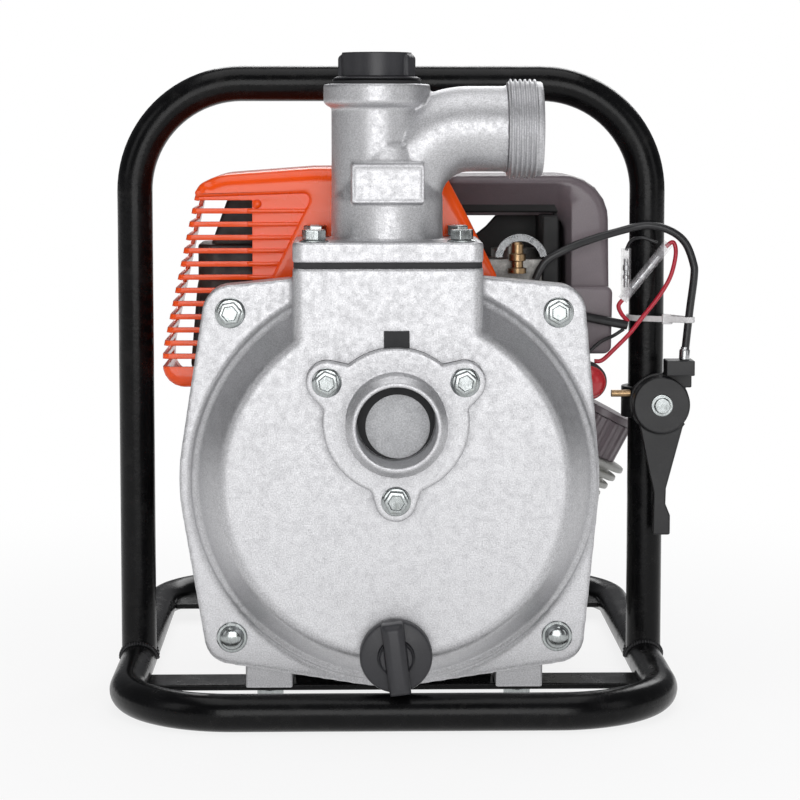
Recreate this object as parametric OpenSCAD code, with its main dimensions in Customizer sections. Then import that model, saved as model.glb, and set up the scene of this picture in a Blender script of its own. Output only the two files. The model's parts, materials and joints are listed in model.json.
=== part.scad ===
// Portable fire pump: 40 mm self-priming pump on a two-stroke engine in a tubular frame.
// Millimetres. +X is the outlet side, -Y is the inlet side, +Z is up.
// The origin is on the floor, midway between the side tubes and a little in front of the hoop.

/* [Frame] */
// Outside diameter of the frame tube
tube_od = 18; // [16:0.5:22]
// Wall of the frame tube
tube_wall = 1.5; // [1:0.1:2.5]
// Width over the base loop
frame_w = 281; // [272:1:340]
// Depth over the base loop
frame_d = 335; // [326:1:400]
// How far the base loop reaches in front of the origin
front_reach = 149; // [145:1:160]
// Height to the top of the hoop
hoop_h = 316; // [300:1:380]
// Bend radius of the tube, to its middle
bend_r = 55; // [40:1:62]
// Where the hoop stands, behind the middle of the base
hoop_y = -22; // [-26:1:-18]

/* [Pump casing] */
// Height of the pump shaft above the floor
shaft_z = 115; // [112:1:122]
// Radius of the casing flange
flange_r = 101.8; // [100:0.1:108]
// Spacing of the casing bolts, across and up
bolt_span = 158; // [150:1:166]
// Thickness of each casing flange
flange_t = 9; // [7:0.5:12]
// Radius of the drum at its root
drum_r = 95; // [90:1:97]
// Radius of the flat drum face
face_r = 81; // [74:1:84]
// How far the drum stands out of the flange
drum_depth = 26; // [22:1:32]
// Wall of the castings
cast_wall = 5; // [4:0.5:6]

/* [Outlet] */
// Width of the outlet neck
neck_w = 90; // [84:1:100]
// Depth of the outlet neck
neck_d = 68; // [62:1:74]
// Height of the top of the neck
neck_top = 219; // [216:1:224]
// Thickness of the elbow flange
elbow_flange_t = 9.5; // [7:0.5:12]
// Outside diameter of the riser pipe
riser_od = 53.6; // [50:1:56]
// Height of the outlet axis
outlet_z = 284; // [280:1:292]
// Outside diameter of the 1 1/2 inch pipe threads
thread_od = 47.8; // [44:0.1:50]
// Length of each pipe thread
thread_len = 17; // [14:1:20]
// Bore of the inlet and of the outlet
port_bore = 37.4; // [34:0.2:38]

/* [Inlet] */
// Height of the inlet above the shaft
inlet_rise = 32.4; // [30:0.2:34]
// Radius of the inlet bolt circle
inlet_pcd_r = 37.4; // [36:0.2:39]
// Thickness of the inlet flange
inlet_t = 8; // [6:0.5:10]

/* [Engine] */
// Cylinder bore
bore_d = 40; // [36:0.5:42]
// Piston stroke
stroke = 30; // [26:1:32]
// Rod length between its pins
rod_len = 56; // [54:1:60]
// Radius of the flywheel
flywheel_r = 44; // [38:1:46]
// Depth of the orange cover
cover_d = 66; // [60:1:72]

/* [Controls] */
// Radius of the throttle lever hub
hub_r = 14.5; // [12:0.5:16]
// Reach of the throttle lever from its pivot
lever_len = 67; // [55:1:75]
// Outside diameter of the throttle cable
cable_od = 4; // [3:0.2:5]

/* [Hidden] */
$fn = 64;

// Clearances between mating pieces
bolt_gap = 0.05;
clear_hole_gap = 0.3;
run_gap = 0.03;
slide_gap = 0.05;
cut = 1;

// Frame
tube_r = tube_od / 2;
side_x = frame_w / 2 - tube_r;
front_end_y = tube_r - front_reach;
rear_end_y = frame_d - front_reach - tube_r;
plate_t = 3;
plate_top = tube_r + 1;
plate_d = 24;
rear_plate_d = 30;
front_plate_y = -75;
rear_plate_y = rear_end_y - 47;
vent_r = 2;
foot_x = 61.5;
foot_w = 23;
foot_bolt_r = 4;
isolator_x = 32;
isolator_h = 16;

// Casing, from the joint plane forward
joint_y = -97;
flange_x = -2.3;
flange_y = joint_y - flange_t;
step_y = flange_y - 3.5;
face_y = flange_y - drum_depth;
rear_flange_y = joint_y + flange_t;
rear_wall_y = joint_y + 13;
boss_y = -62;
boss_r = 40;
step_r = 98;
ear_r = 13.5;
m6 = 3;
cavity_r = drum_r - 7;
neck_x = -3.5;
neck_y = face_y + neck_d / 2;
neck_wall_y = joint_y - 4;
overhang_z = neck_top - 14.5;
riser_bore_r = 21;
outlet_bolt_x = 35;
outlet_bolt_y = 25;
gasket_t = 2.5;

// Suction pocket, volute and impeller
inlet_z = shaft_z + inlet_rise;
inlet_gasket_t = 2;
inlet_y = face_y - inlet_gasket_t;
pocket_x = 36;
pocket_low = shaft_z - 27;
pocket_high = inlet_z + 34;
pocket_rear_y = face_y + 21;
pocket_wall = 3.5;
eye_r = 17;
eye_wall = 3;
volute_front_y = pocket_rear_y + pocket_wall + 1;
volute_t = 3;
volute_r = 64;
impeller_r = 54;
impeller_back_y = rear_wall_y - 7;
hub_front_y = joint_y - 4;
flap_r = port_bore / 2 + 2;
flap_t = 2.5;

// Drain plug
drain_z = max(shaft_z - 79, tube_od + 18);
drain_boss_y = face_y - 2;
drain_disc_r = 17.2;
drain_thread_r = 9;

// Elbow
elbow_z = neck_top + gasket_t;
riser_z = elbow_z + elbow_flange_t;
elbow_bend = 33.5;
branch_r = 20.5;
branch_wall = 4;
bend_x = 35.7;
bend_z = outlet_z - elbow_bend;
taper_h = 26;
filler_x = neck_x - 4.9;
filler_r = riser_od / 2 - 5;
collar_r = 25.6;
collar_z = 294.7;
collar_top = 305.4;
thread_x = 54;
plug_turn = -20;
label_z = 258.3;

// Engine
engine_y = -26;
case_r = 38;
chamber_r = 33.5;
journal_r = 7.5;
case_front_y = boss_y;
case_rear_y = 8;
web_r = 27;
deck_z = shaft_z + case_r;
deck_half = 28;
head_z = deck_z + 69;
wrist_z = shaft_z + stroke / 2 + rod_len;
crown_h = 22;
skirt_h = 10;
wrist_r = 5;
fin_half = 29;
fin_count = 7;
fin_pitch = 8;
bore_r = bore_d / 2;
port_z = deck_z + 43;
intake_z = port_z + 2;
arm_z = intake_z - 9;
port_r = 7;
muffler_x = -70;
muffler_w = 56;
muffler_d = 50;
muffler_h = 64;
muffler_low = port_z - 34;
muffler_wall = 1.6;
flywheel_y = 26;
coil_leg_x = 15;
coil_leg_w = 7;
coil_leg_h = 10;
coil_z = shaft_z + flywheel_r + 0.8;
fan_rear_y = 64;
fan_r = 58;
starter_rear_y = 98;
pulley_r = 28;
pulley_y = 82;
rope_x = -24;
rope_r = 1.8;
rope_len = 96;

// Covers
cover_y = -61.5;
cover_wall = 2.2;
slot_count = 13;
slot_pitch = 6.6;
slot_h = 4;
slot_low = 165.4;
filter_y = -22;
filter_d = 58;

// Fuel tank and its tilted cap
tank_low = 26;
tank_top = 74;
tank_wall = 2.2;
cap_tilt = 28;
cap_r = 17;
cap_h = 24;
neck_base = [97, 8, 105];
neck_rise = 20;
fuel_bore_r = 11;

// Stop switch on the guard below the air filter
stop_at = [99.5, -46, 156];

// Throttle control on the right upright
hub_x = side_x + 5.8;
hub_z = 143.6;
hub_y = hoop_y - tube_r - 14;
hub_t = 10;
pivot_r = 3;
block_top = 166.5;

// Routes of the cords, first to last; their far ends keep to the right upright
lever_end = [side_x + 17.5, -40, block_top];
cable_route = [
    [72, -48, 208], [77, -48, 217], [87, -47.5, 223], [100, -45, 228], [side_x - 9.5, -41, 234],
    [side_x + 0.5, -41, 235], [side_x + 10.5, -41, 232], [side_x + 17.5, -41, 226],
    [side_x + 21.5, -41, 216], [side_x + 22, -41, 209], [side_x + 20, -40, 191],
    lever_end
];
loop_x = side_x - tube_r - 2.5;
red_route = [
    [103, -41, 166], [107, -41, 166.5], [113, -41, 172], [121, -40, 180], [127, -39, 187.5],
    [135.5, -38, 198], [141, -38, 207], [143.5, -38, 214.5], [144.5, -38, 222], [143, -37.7, 226.5],
    [139.5, -37.5, 224.2]
];
red_tail_route = [
    [117.5, -37.5, 197], [115.5, -37.5, 194], [117, -37, 190], [120.5, -36, 186]
];
black_route = [
    [95, -41, 165.6], [98, -41, 168.5], [106, -39, 175.5], [113, -36.5, 178.5], [118.5, -36, 182]
];
black_loop_route = [
    [loop_x, -30.5, 222], [loop_x + 2.5, -32, 227], [loop_x + 8, -34, 228.5], [loop_x + 15.5, -35, 226]
];
sleeve_route = [
    [48, -50, 148], [60, -54, 162], [72, -54, 178], [82, -50, 188], [92, -45, 190.5],
    [101, -39, 188], [120, -36, 184]
];
hose_route = [
    [72, -8, 96], [71, -9, 112], [64, -12, 134], [54, -18, 158], [51, -24, 181.9]
];
lead_route = [
    [14, 31, 184], [24, 28, 202], [22, 14, 222], [14, -4, 238], [6, -19, 244]
];

// ---- helpers ----

// Turns a piece modelled along +Z to lie along +Y
module along_y(at) translate(at) rotate([-90, 0, 0]) children();

// Turns a piece modelled along +Z to lie along +X
module along_x(at) translate(at) rotate([0, 90, 0]) children();

// Pushes an outline drawn in X and Z back along +Y
module push_back(y, depth) translate([0, y + depth, 0]) rotate([90, 0, 0])
    linear_extrude(depth) children();

// Box given by its two opposite corners
module box(low, high) translate(low) cube(high - low);

// Flat rectangle with round corners
module round_rect(w, h, r) {
    square([w - 2 * r, h], center = true);
    square([w, h - 2 * r], center = true);
    for (sx = [-1, 1], sy = [-1, 1])
        translate([sx * (w / 2 - r), sy * (h / 2 - r)]) circle(r);
}

// Hexagon-headed bolt, seat at the origin and shank down, washer under the head
module hex_bolt(r, head_af, head_h, shank, washer_r) {
    washer_t = 1.5;
    cylinder(r = washer_r, h = washer_t);
    translate([0, 0, washer_t]) cylinder(r = head_af / sqrt(3), h = head_h, $fn = 6);
    translate([0, 0, -shank]) cylinder(r = r, h = shank + washer_t + head_h / 2);
}

// Smooth curve through a list of points
function blend_point(a, b, c, d, t) = 0.5 * (2 * b + (c - a) * t
    + (2 * a - 5 * b + 4 * c - d) * t * t + (3 * b - a - 3 * c + d) * t * t * t);
function smooth(p, n) = concat(
    [for (i = [0 : len(p) - 2], s = [0 : n - 1])
        blend_point(p[max(i - 1, 0)], p[i], p[i + 1], p[min(i + 2, len(p) - 1)], s / n)],
    [p[len(p) - 1]]);
function unit(v) = v / norm(v);

// Round cord along a smooth route
module cord(route, r, sides = 8, steps = 3) {
    path = smooth(route, steps);
    last = len(path) - 1;
    rings = [for (i = [0 : last])
        let (t = unit(path[min(i + 1, last)] - path[max(i - 1, 0)]),
             u = unit(cross(t, [0, 1, 0.13])),
             v = cross(t, u))
        for (k = [0 : sides - 1])
            path[i] + r * (cos(360 * k / sides) * u + sin(360 * k / sides) * v)];
    walls = [for (i = [0 : last - 1], k = [0 : sides - 1])
        let (n = (k + 1) % sides)
        [i * sides + k, (i + 1) * sides + k, (i + 1) * sides + n, i * sides + n]];
    start_cap = [for (k = [0 : sides - 1]) k];
    end_cap = [for (k = [sides - 1 : -1 : 0]) last * sides + k];
    polyhedron(rings, concat(walls, [start_cap, end_cap]), convexity = 6);
}

// ---- frame ----

// Solid round bar bent into the flat base loop
module loop_bar(r) {
    run_x = side_x - bend_r;
    front_y = front_end_y + bend_r;
    rear_y = rear_end_y - bend_r;
    for (y = [front_end_y, rear_end_y]) along_x([-run_x, y, tube_r]) cylinder(r = r, h = 2 * run_x);
    for (s = [-1, 1]) along_y([s * side_x, front_y, tube_r]) cylinder(r = r, h = rear_y - front_y);
    for (q = [0 : 3]) {
        sx = (q == 0 || q == 3) ? 1 : -1;
        translate([sx * run_x, q < 2 ? rear_y : front_y, tube_r]) rotate(90 * q)
            rotate_extrude(angle = 90) translate([bend_r, 0]) circle(r);
    }
}

module base_loop() color("#1b1b1d") difference() {
    loop_bar(tube_r);
    loop_bar(tube_r - tube_wall);
    for (at = [[-40, front_end_y], [40, rear_end_y]])
        translate([at[0], at[1], -cut]) cylinder(r = vent_r, h = tube_r, $fn = 24);
}

// Solid round bar bent into the inverted U of the hoop
module hoop_bar(r, foot_z) {
    top_z = hoop_h - tube_r;
    run_x = side_x - bend_r;
    along_x([-run_x, hoop_y, top_z]) cylinder(r = r, h = 2 * run_x);
    for (s = [-1, 1]) {
        translate([s * side_x, hoop_y, foot_z]) cylinder(r = r, h = top_z - bend_r - foot_z);
        translate([s * run_x, hoop_y, top_z - bend_r]) rotate([90, 0, 0])
            rotate(s > 0 ? 0 : 90) rotate_extrude(angle = 90) translate([bend_r, 0]) circle(r);
    }
}

module side_tubes(r) for (s = [-1, 1])
    along_y([s * side_x, front_end_y, tube_r]) cylinder(r = r, h = rear_end_y - front_end_y);

module handle_hoop() color("#1b1b1d") difference() {
    hoop_bar(tube_r, tube_r);
    hoop_bar(tube_r - tube_wall, tube_r - cut);
    side_tubes(tube_r);
}

module cross_plate(y, depth) difference() {
    box([-side_x, y - depth / 2, plate_top - plate_t], [side_x, y + depth / 2, plate_top]);
    loop_bar(tube_r);
}

module front_cross_plate() color("#1b1b1d") {
    difference() {
        union() {
            cross_plate(front_plate_y, plate_d);
            box([-foot_x + foot_w / 2 + 1, front_plate_y + 6, plate_top - plate_t],
                [foot_x - foot_w / 2 - 1, front_plate_y + 9, plate_top + 10]);
        }
        for (s = [-1, 1]) translate([s * foot_x, front_plate_y, 0])
            cylinder(r = foot_bolt_r + clear_hole_gap, h = 20);
    }
}

module rear_cross_plate() color("#1b1b1d") difference() {
    cross_plate(rear_plate_y, rear_plate_d);
    for (s = [-1, 1]) translate([s * isolator_x, rear_plate_y, 0])
        cylinder(r = foot_bolt_r + clear_hole_gap, h = 20);
}

module foot_bolts() color("#a8abad") for (s = [-1, 1])
    translate([s * foot_x, front_plate_y, 0]) {
        pad_top = plate_top + 8;
        nut_h = plate_top - plate_t - 0.6;
        translate([0, 0, pad_top]) hex_bolt(foot_bolt_r, 13, 5, pad_top - 1.5, 8);
        translate([0, 0, 0.6]) difference() {
            cylinder(r = 13 / sqrt(3), h = nut_h, $fn = 6);
            translate([0, 0, -cut]) cylinder(r = foot_bolt_r + bolt_gap, h = nut_h + 2 * cut);
        }
    }

module rear_isolators() color("#19191a") for (s = [-1, 1])
    translate([s * isolator_x, rear_plate_y, plate_top]) {
        cylinder(r = 11, h = isolator_h);
        translate([0, 0, -plate_t - 3]) cylinder(r = foot_bolt_r, h = plate_t + 4);
        translate([0, 0, isolator_h - 1]) cylinder(r = foot_bolt_r, h = 7);
    }

// ---- pump casings ----

module at_casing_bolts() for (sx = [-1, 1], sz = [-1, 1])
    translate([sx * bolt_span / 2, shaft_z + 2 + sz * bolt_span / 2]) children();

module flange_outline() hull() {
    translate([flange_x, shaft_z]) circle(flange_r, $fn = 128);
    at_casing_bolts() circle(ear_r, $fn = 32);
}

// D-shaped outline that seals the joint under the outlet neck
module seal_outline(r, top) intersection() {
    translate([0, shaft_z]) circle(r);
    translate([-r, shaft_z - r]) square([2 * r, top - shaft_z + r]);
}

// Turned solid on the shaft axis; the outline is radius against Y
module turned(outline) translate([0, 0, shaft_z]) rotate([-90, 0, 0])
    rotate_extrude($fn = 128) polygon(outline);

module neck_block(y0, y1, z0) translate([neck_x, neck_y, z0]) intersection() {
    linear_extrude(neck_top - z0) round_rect(neck_w, neck_d, 5);
    translate([-neck_w, y0 - neck_y, -cut]) cube([2 * neck_w, y1 - y0, 200]);
}

module at_inlet_bolts() for (a = [30, 150, 270])
    translate([inlet_pcd_r * cos(a), 0, inlet_z + inlet_pcd_r * sin(a)]) children();

module at_outlet_bolts(z) for (sx = [-1, 1], sy = [-1, 1])
    translate([neck_x + sx * outlet_bolt_x, neck_y + sy * outlet_bolt_y, z]) children();

module casing_shell() {
    push_back(flange_y, flange_t) flange_outline();
    turned([[0, face_y], [face_r, face_y], [face_r + 3, face_y + 1.5], [face_r + 5, face_y + 5],
            [drum_r, step_y], [step_r, step_y], [step_r, flange_y + 1], [0, flange_y + 1]]);
    neck_block(face_y, joint_y, shaft_z);
    neck_block(joint_y - cut, face_y + neck_d, overhang_z);
    along_y([0, drain_boss_y, drain_z]) cylinder(r = 12, h = 12);
}

module casing_cavity() {
    inner_r = face_r - 4;
    turned([[0, face_y + cast_wall], [inner_r, face_y + cast_wall],
            [cavity_r, step_y + 2], [cavity_r, neck_wall_y], [0, neck_wall_y]]);
    push_back(neck_wall_y - cut, flange_t) seal_outline(cavity_r, overhang_z - 10);
    box([neck_x - 27, face_y + cast_wall, shaft_z + 72], [neck_x + 27, neck_wall_y, overhang_z + 6]);
    translate([neck_x, neck_y, overhang_z + 3]) cylinder(r = riser_bore_r, h = 20);
}

module pump_front_casing() color("#d9d9dc") difference() {
    union() {
        difference() {
            casing_shell();
            casing_cavity();
        }
        // suction pocket behind the inlet
        box([-pocket_x - pocket_wall, face_y + 2, pocket_low - pocket_wall],
            [pocket_x + pocket_wall, pocket_rear_y + pocket_wall, pocket_high + pocket_wall]);
        along_y([0, face_y + 2, drain_z]) cylinder(r = 13, h = 12);
    }
    difference() {
        box([-pocket_x, face_y + cast_wall, pocket_low], [pocket_x, pocket_rear_y, pocket_high]);
        at_inlet_bolts() along_y([0, face_y, 0]) cylinder(r = 6.5, h = 12);
    }
    along_y([0, face_y - cut, inlet_z]) cylinder(r = flap_r + 1.3, h = cast_wall + 2 * cut);
    along_y([0, pocket_rear_y - cut, shaft_z])
        cylinder(r = eye_r + eye_wall + 0.15, h = pocket_wall + 2 * cut);
    at_inlet_bolts() along_y([0, face_y - cut, 0]) cylinder(r = m6 + bolt_gap, h = 11);
    along_y([0, face_y - 10, drain_z]) cylinder(r = drain_thread_r + 0.1, h = 40);
    at_outlet_bolts(neck_top - 12.5) cylinder(r = m6 + bolt_gap, h = 20);
    push_back(flange_y - cut, flange_t + 2 * cut)
        at_casing_bolts() circle(m6 + clear_hole_gap);
}

module foot_block(s) {
    x0 = foot_x - foot_w / 2;
    x1 = foot_x + foot_w / 2;
    scale([s, 1, 1]) {
        box([x0, joint_y + 3, plate_top], [x1, front_plate_y + 13, plate_top + 8]);
        box([x0, joint_y + 3, plate_top], [x1, rear_flange_y + 1, shaft_z - 60]);
    }
}

module pump_rear_casing() color("#c6c7ca") difference() {
    union() {
        push_back(joint_y, flange_t) flange_outline();
        turned([[0, joint_y + 4], [cavity_r + 3, joint_y + 4], [cavity_r + 3, rear_wall_y],
                [66, rear_wall_y + 6], [boss_r + 6, boss_y - 8], [boss_r, boss_y], [0, boss_y]]);
        for (s = [-1, 1]) foot_block(s);
    }
    box([neck_x - neck_w / 2 - 1.5, joint_y - 60, overhang_z - 0.5],
        [neck_x + neck_w / 2 + 1.5, joint_y + 60, 300]);
    push_back(joint_y - cut, rear_wall_y - joint_y + cut) seal_outline(cavity_r - 3, overhang_z - 10);
    push_back(joint_y - cut, 1 + cut) difference() {
        seal_outline(cavity_r + 6.2, overhang_z - 1.8);
        seal_outline(cavity_r + 0.8, overhang_z - 8.2);
    }
    along_y([0, rear_wall_y - cut, shaft_z]) cylinder(r = 16, h = 10 + cut);
    along_y([0, rear_wall_y, shaft_z]) cylinder(r = journal_r + 1.5, h = 40);
    push_back(joint_y - cut, flange_t + 2 * cut) at_casing_bolts() circle(m6 + bolt_gap);
    for (s = [-1, 1]) translate([s * foot_x, front_plate_y, 0])
        cylinder(r = foot_bolt_r + clear_hole_gap, h = 25);
}

module casing_gasket() color("#202022") push_back(joint_y, 1) difference() {
    seal_outline(cavity_r + 6, overhang_z - 2);
    seal_outline(cavity_r + 1, overhang_z - 8);
}

module casing_bolts() color("#c9cccd") for (sx = [-1, 1], sz = [-1, 1])
    translate([sx * bolt_span / 2, flange_y, shaft_z + 2 + sz * bolt_span / 2])
        rotate([90, 0, 0]) hex_bolt(m6, 10, 4, 2 * flange_t - 1, 7.5);

// ---- wet end ----

module volute() color("#b9bbbd") {
    outer = volute_r + 3;
    difference() {
        union() {
            along_y([3, volute_front_y, shaft_z]) cylinder(r = outer, h = rear_wall_y - volute_front_y);
            along_y([0, pocket_rear_y, shaft_z]) cylinder(r = eye_r + eye_wall, h = 6);
        }
        along_y([3, volute_front_y + volute_t, shaft_z]) cylinder(r = outer - 5, h = 60);
        along_y([0, pocket_rear_y - cut, shaft_z]) cylinder(r = eye_r, h = 12);
        box([8, volute_front_y + volute_t, shaft_z + 30], [44, 0, shaft_z + 90]);
    }
}

module impeller() color("#b08d4c") difference() {
    union() {
        along_y([0, impeller_back_y, shaft_z]) cylinder(r = impeller_r, h = 3);
        along_y([0, hub_front_y, shaft_z]) cylinder(r = 10, h = rear_wall_y - 3 - hub_front_y);
        push_back(volute_front_y + volute_t + 1, impeller_back_y - volute_front_y - volute_t)
            translate([0, shaft_z]) for (a = [0 : 60 : 300]) rotate(a) intersection() {
                translate([26, 22]) difference() {
                    circle(35);
                    circle(32.5);
                }
                difference() {
                    circle(impeller_r);
                    circle(eye_r - 4);
                }
                translate([0, -60]) square([60, 60]);
            }
    }
    along_y([0, hub_front_y + 3, shaft_z]) cylinder(r = 6 + bolt_gap, h = 30);
}

module seal_seat() color("#d8d2c4") difference() {
    along_y([0, rear_wall_y + 4, shaft_z]) cylinder(r = 16, h = 6);
    along_y([0, rear_wall_y, shaft_z]) cylinder(r = journal_r + 1.5, h = 20);
}

module seal_rotor() color("#333436") difference() {
    along_y([0, rear_wall_y - 2.5, shaft_z]) cylinder(r = 13, h = 6.45);
    along_y([0, rear_wall_y - 5, shaft_z]) cylinder(r = journal_r + bolt_gap, h = 20);
}

// ---- outlet ----

module outlet_gasket() color("#202022") translate([neck_x, neck_y, neck_top]) difference() {
    linear_extrude(gasket_t) round_rect(neck_w - 1, neck_d - 1, 5);
    translate([0, 0, -cut]) cylinder(r = riser_bore_r + 0.5, h = 10);
    for (sx = [-1, 1], sy = [-1, 1]) translate([sx * outlet_bolt_x, sy * outlet_bolt_y, -cut])
        cylinder(r = m6 + clear_hole_gap, h = 10);
}

// Quarter bend from the riser into the outlet branch
module elbow_quarter(r) translate([bend_x, neck_y, bend_z])
    rotate([90, 0, 0]) rotate(90) rotate_extrude(angle = 90) translate([elbow_bend, 0]) circle(r);

// Ring grooves that stand for a pipe thread, along +Z from the origin
module thread_form(len) {
    pitch = 2.31;
    root_r = thread_od / 2 - 1.2;
    turns = floor((len - 2.6) / pitch) + 1;
    cylinder(r = root_r, h = len);
    for (i = [0 : turns - 1]) translate([0, 0, 0.6 + i * pitch])
        rotate_extrude() polygon([[0, 0], [root_r, 0], [thread_od / 2, 0.75],
            [thread_od / 2, 1.25], [root_r, 2], [0, 2]]);
}

module elbow_solid() {
    translate([neck_x, neck_y, elbow_z]) linear_extrude(elbow_flange_t)
        round_rect(neck_w, neck_d, 5);
    translate([neck_x, neck_y, elbow_z]) cylinder(r = riser_od / 2, h = bend_z - elbow_z);
    translate([neck_x, neck_y, bend_z]) cylinder(r1 = riser_od / 2, r2 = filler_r, h = taper_h);
    elbow_quarter(branch_r);
    along_x([bend_x, neck_y, outlet_z]) cylinder(r = branch_r, h = thread_x - bend_x);
    along_x([thread_x, neck_y, outlet_z]) thread_form(thread_len);
    translate([filler_x, neck_y, bend_z - 6]) cylinder(r = filler_r, h = collar_z - bend_z + 6);
    translate([filler_x, neck_y, collar_z]) cylinder(r1 = collar_r - 2, r2 = collar_r, h = 2);
    translate([filler_x, neck_y, collar_z + 2]) cylinder(r = collar_r, h = collar_top - collar_z - 2);
    box([neck_x - 17, neck_y - riser_od / 2 - 1.2, label_z - 9.3],
        [neck_x + 17, neck_y - 15, label_z + 9.3]);
}

module outlet_elbow() color("#c9cacc") difference() {
    inner_r = branch_r - branch_wall;
    elbow_solid();
    translate([neck_x, neck_y, elbow_z - cut]) cylinder(r = riser_bore_r, h = bend_z - elbow_z + cut);
    elbow_quarter(inner_r);
    along_x([bend_x, neck_y, outlet_z]) cylinder(r = inner_r, h = 80);
    along_x([thread_x + 1, neck_y, outlet_z]) cylinder(r = port_bore / 2, h = 60);
    translate([filler_x, neck_y, bend_z - 1]) cylinder(r = filler_r - 4.5, h = 100);
    at_outlet_bolts(elbow_z - cut) cylinder(r = m6 + clear_hole_gap, h = 30);
}

module outlet_bolts() color("#c9cccd") at_outlet_bolts(riser_z)
    hex_bolt(m6, 10, 4.5, riser_z - neck_top + 12, 7);

module priming_plug_seal() color("#202022") translate([filler_x, neck_y, collar_top]) difference() {
    cylinder(r = filler_r - 0.6, h = 1.5);
    translate([0, 0, -cut]) cylinder(r = filler_r - 5 + slide_gap, h = 5);
}

module priming_plug() color("#2a2a2d") translate([filler_x, neck_y, collar_top]) {
    translate([0, 0, 1.5]) cylinder(r = filler_r - 0.6, h = 2);
    translate([0, 0, -12]) difference() {
        cylinder(r = filler_r - 5, h = 14);
        translate([0, 0, -cut]) cylinder(r = filler_r - 8, h = 12);
    }
    rotate(plug_turn) translate([0, 0, 8.25]) cube([36, 11, 13.5], center = true);
}

// ---- inlet ----

module inlet_outline() translate([0, inlet_z]) {
    circle(34.5);
    for (a = [30, 150, 270]) rotate(a) hull() {
        translate([inlet_pcd_r, 0]) circle(9.8, $fn = 32);
        translate([14, 0]) circle(17, $fn = 32);
    }
}

module inlet_gasket() color("#3a3a3c") difference() {
    union() {
        push_back(inlet_y, inlet_gasket_t) inlet_outline();
        box([-5.5, inlet_y, inlet_z + 30], [6.5, face_y, inlet_z + 42]);
    }
    along_y([0, inlet_y - cut, inlet_z]) cylinder(r = flap_r + 1.3, h = 10);
    at_inlet_bolts() along_y([0, inlet_y - cut, 0]) cylinder(r = m6 + clear_hole_gap, h = 10);
}

module inlet_flap() color("#9a9da0") {
    along_y([0, inlet_y + 0.1, inlet_z]) cylinder(r = flap_r, h = flap_t);
    box([-3, inlet_y + 0.1, inlet_z + flap_r - 2], [3, inlet_y + flap_t, inlet_z + flap_r + 0.15]);
}

module inlet_flange() color("#d2d3d6") difference() {
    union() {
        push_back(inlet_y - inlet_t, inlet_t) inlet_outline();
        translate([0, inlet_y - inlet_t + 1, inlet_z]) rotate([90, 0, 0]) {
            cylinder(r = thread_od / 2 - 1.2, h = 4);
            translate([0, 0, 3]) thread_form(thread_len);
            translate([0, 0, 3 + thread_len]) cylinder(r1 = thread_od / 2 - 1.3, r2 = 20.6, h = 2.5);
        }
    }
    along_y([0, inlet_y - 40, inlet_z]) cylinder(r = port_bore / 2, h = 60);
    at_inlet_bolts() along_y([0, inlet_y - 30, 0]) cylinder(r = m6 + clear_hole_gap, h = 60);
}

module inlet_bolts() color("#c9cccd") at_inlet_bolts()
    translate([0, inlet_y - inlet_t, 0]) rotate([90, 0, 0])
        hex_bolt(m6, 10, 4, inlet_t + inlet_gasket_t + 9, 7);

module drain_plug_seal() color("#202022") difference() {
    along_y([0, drain_boss_y - 1.5, drain_z]) cylinder(r = 11.5, h = 1.5);
    along_y([0, drain_boss_y - 5, drain_z]) cylinder(r = drain_thread_r - 0.5 + slide_gap, h = 10);
}

module drain_plug() color("#2a2a2d") {
    disc_y = drain_boss_y - 1.5;
    along_y([0, disc_y - 8, drain_z]) cylinder(r = drain_disc_r, h = 8);
    along_y([0, disc_y - 1, drain_z]) cylinder(r = drain_thread_r - 0.5, h = 14);
    translate([0, disc_y - 8, drain_z]) rotate([0, 7, 0])
        translate([0, -4, 0]) cube([10, 10, 2 * drain_disc_r - 0.4], center = true);
}

// ---- engine ----

module case_block(y0, y1) {
    along_y([0, y0, shaft_z]) cylinder(r = case_r, h = y1 - y0);
    box([-deck_half, y0 > engine_y - 1 ? y0 : engine_y - deck_half, shaft_z],
        [deck_half, y1 < engine_y + 1 ? y1 : engine_y + deck_half, deck_z]);
    box([-16, max(y0, engine_y - 24), tank_top], [16, min(y1, engine_y + 30), shaft_z - case_r + 12]);
}

module case_hollow() {
    along_y([0, engine_y - 20, shaft_z]) cylinder(r = chamber_r, h = 40);
    along_y([0, case_front_y - 10, shaft_z]) cylinder(r = journal_r + run_gap, h = 100);
    translate([0, engine_y, shaft_z]) cylinder(r = bore_r + 0.6, h = 60);
}

module crankcase_front() color("#a9abad") difference() {
    union() {
        case_block(case_front_y, engine_y);
        along_y([0, case_front_y, shaft_z]) cylinder(r = boss_r, h = 6);
    }
    case_hollow();
}

module crankcase_rear() color("#a9abad") difference() {
    case_block(engine_y, case_rear_y);
    case_hollow();
}

module engine_cylinder() color("#9fa1a3") difference() {
    union() {
        translate([0, engine_y, deck_z]) linear_extrude(6)
            round_rect(2 * deck_half, 2 * deck_half, 6);
        translate([0, engine_y, deck_z]) cylinder(r = bore_r + 6, h = head_z - deck_z);
        for (i = [0 : fin_count - 1]) translate([0, engine_y, deck_z + 15 + i * fin_pitch])
            linear_extrude(3) round_rect(2 * fin_half, 2 * fin_half, 8);
        along_x([bore_r, engine_y, intake_z]) cylinder(r = 12, h = fin_half + 5 - bore_r);
        along_x([-fin_half - 5, engine_y, port_z]) cylinder(r = 12, h = fin_half + 5 - bore_r);
    }
    translate([0, engine_y, deck_z - cut]) cylinder(r = bore_r, h = wrist_z + crown_h + 4 - deck_z + cut);
    along_x([0, engine_y, intake_z]) cylinder(r = port_r, h = 60);
    along_x([-60, engine_y, port_z]) cylinder(r = port_r, h = 60);
    translate([0, engine_y, head_z - 20]) cylinder(r = 5 + bolt_gap, h = 40);
}

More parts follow.
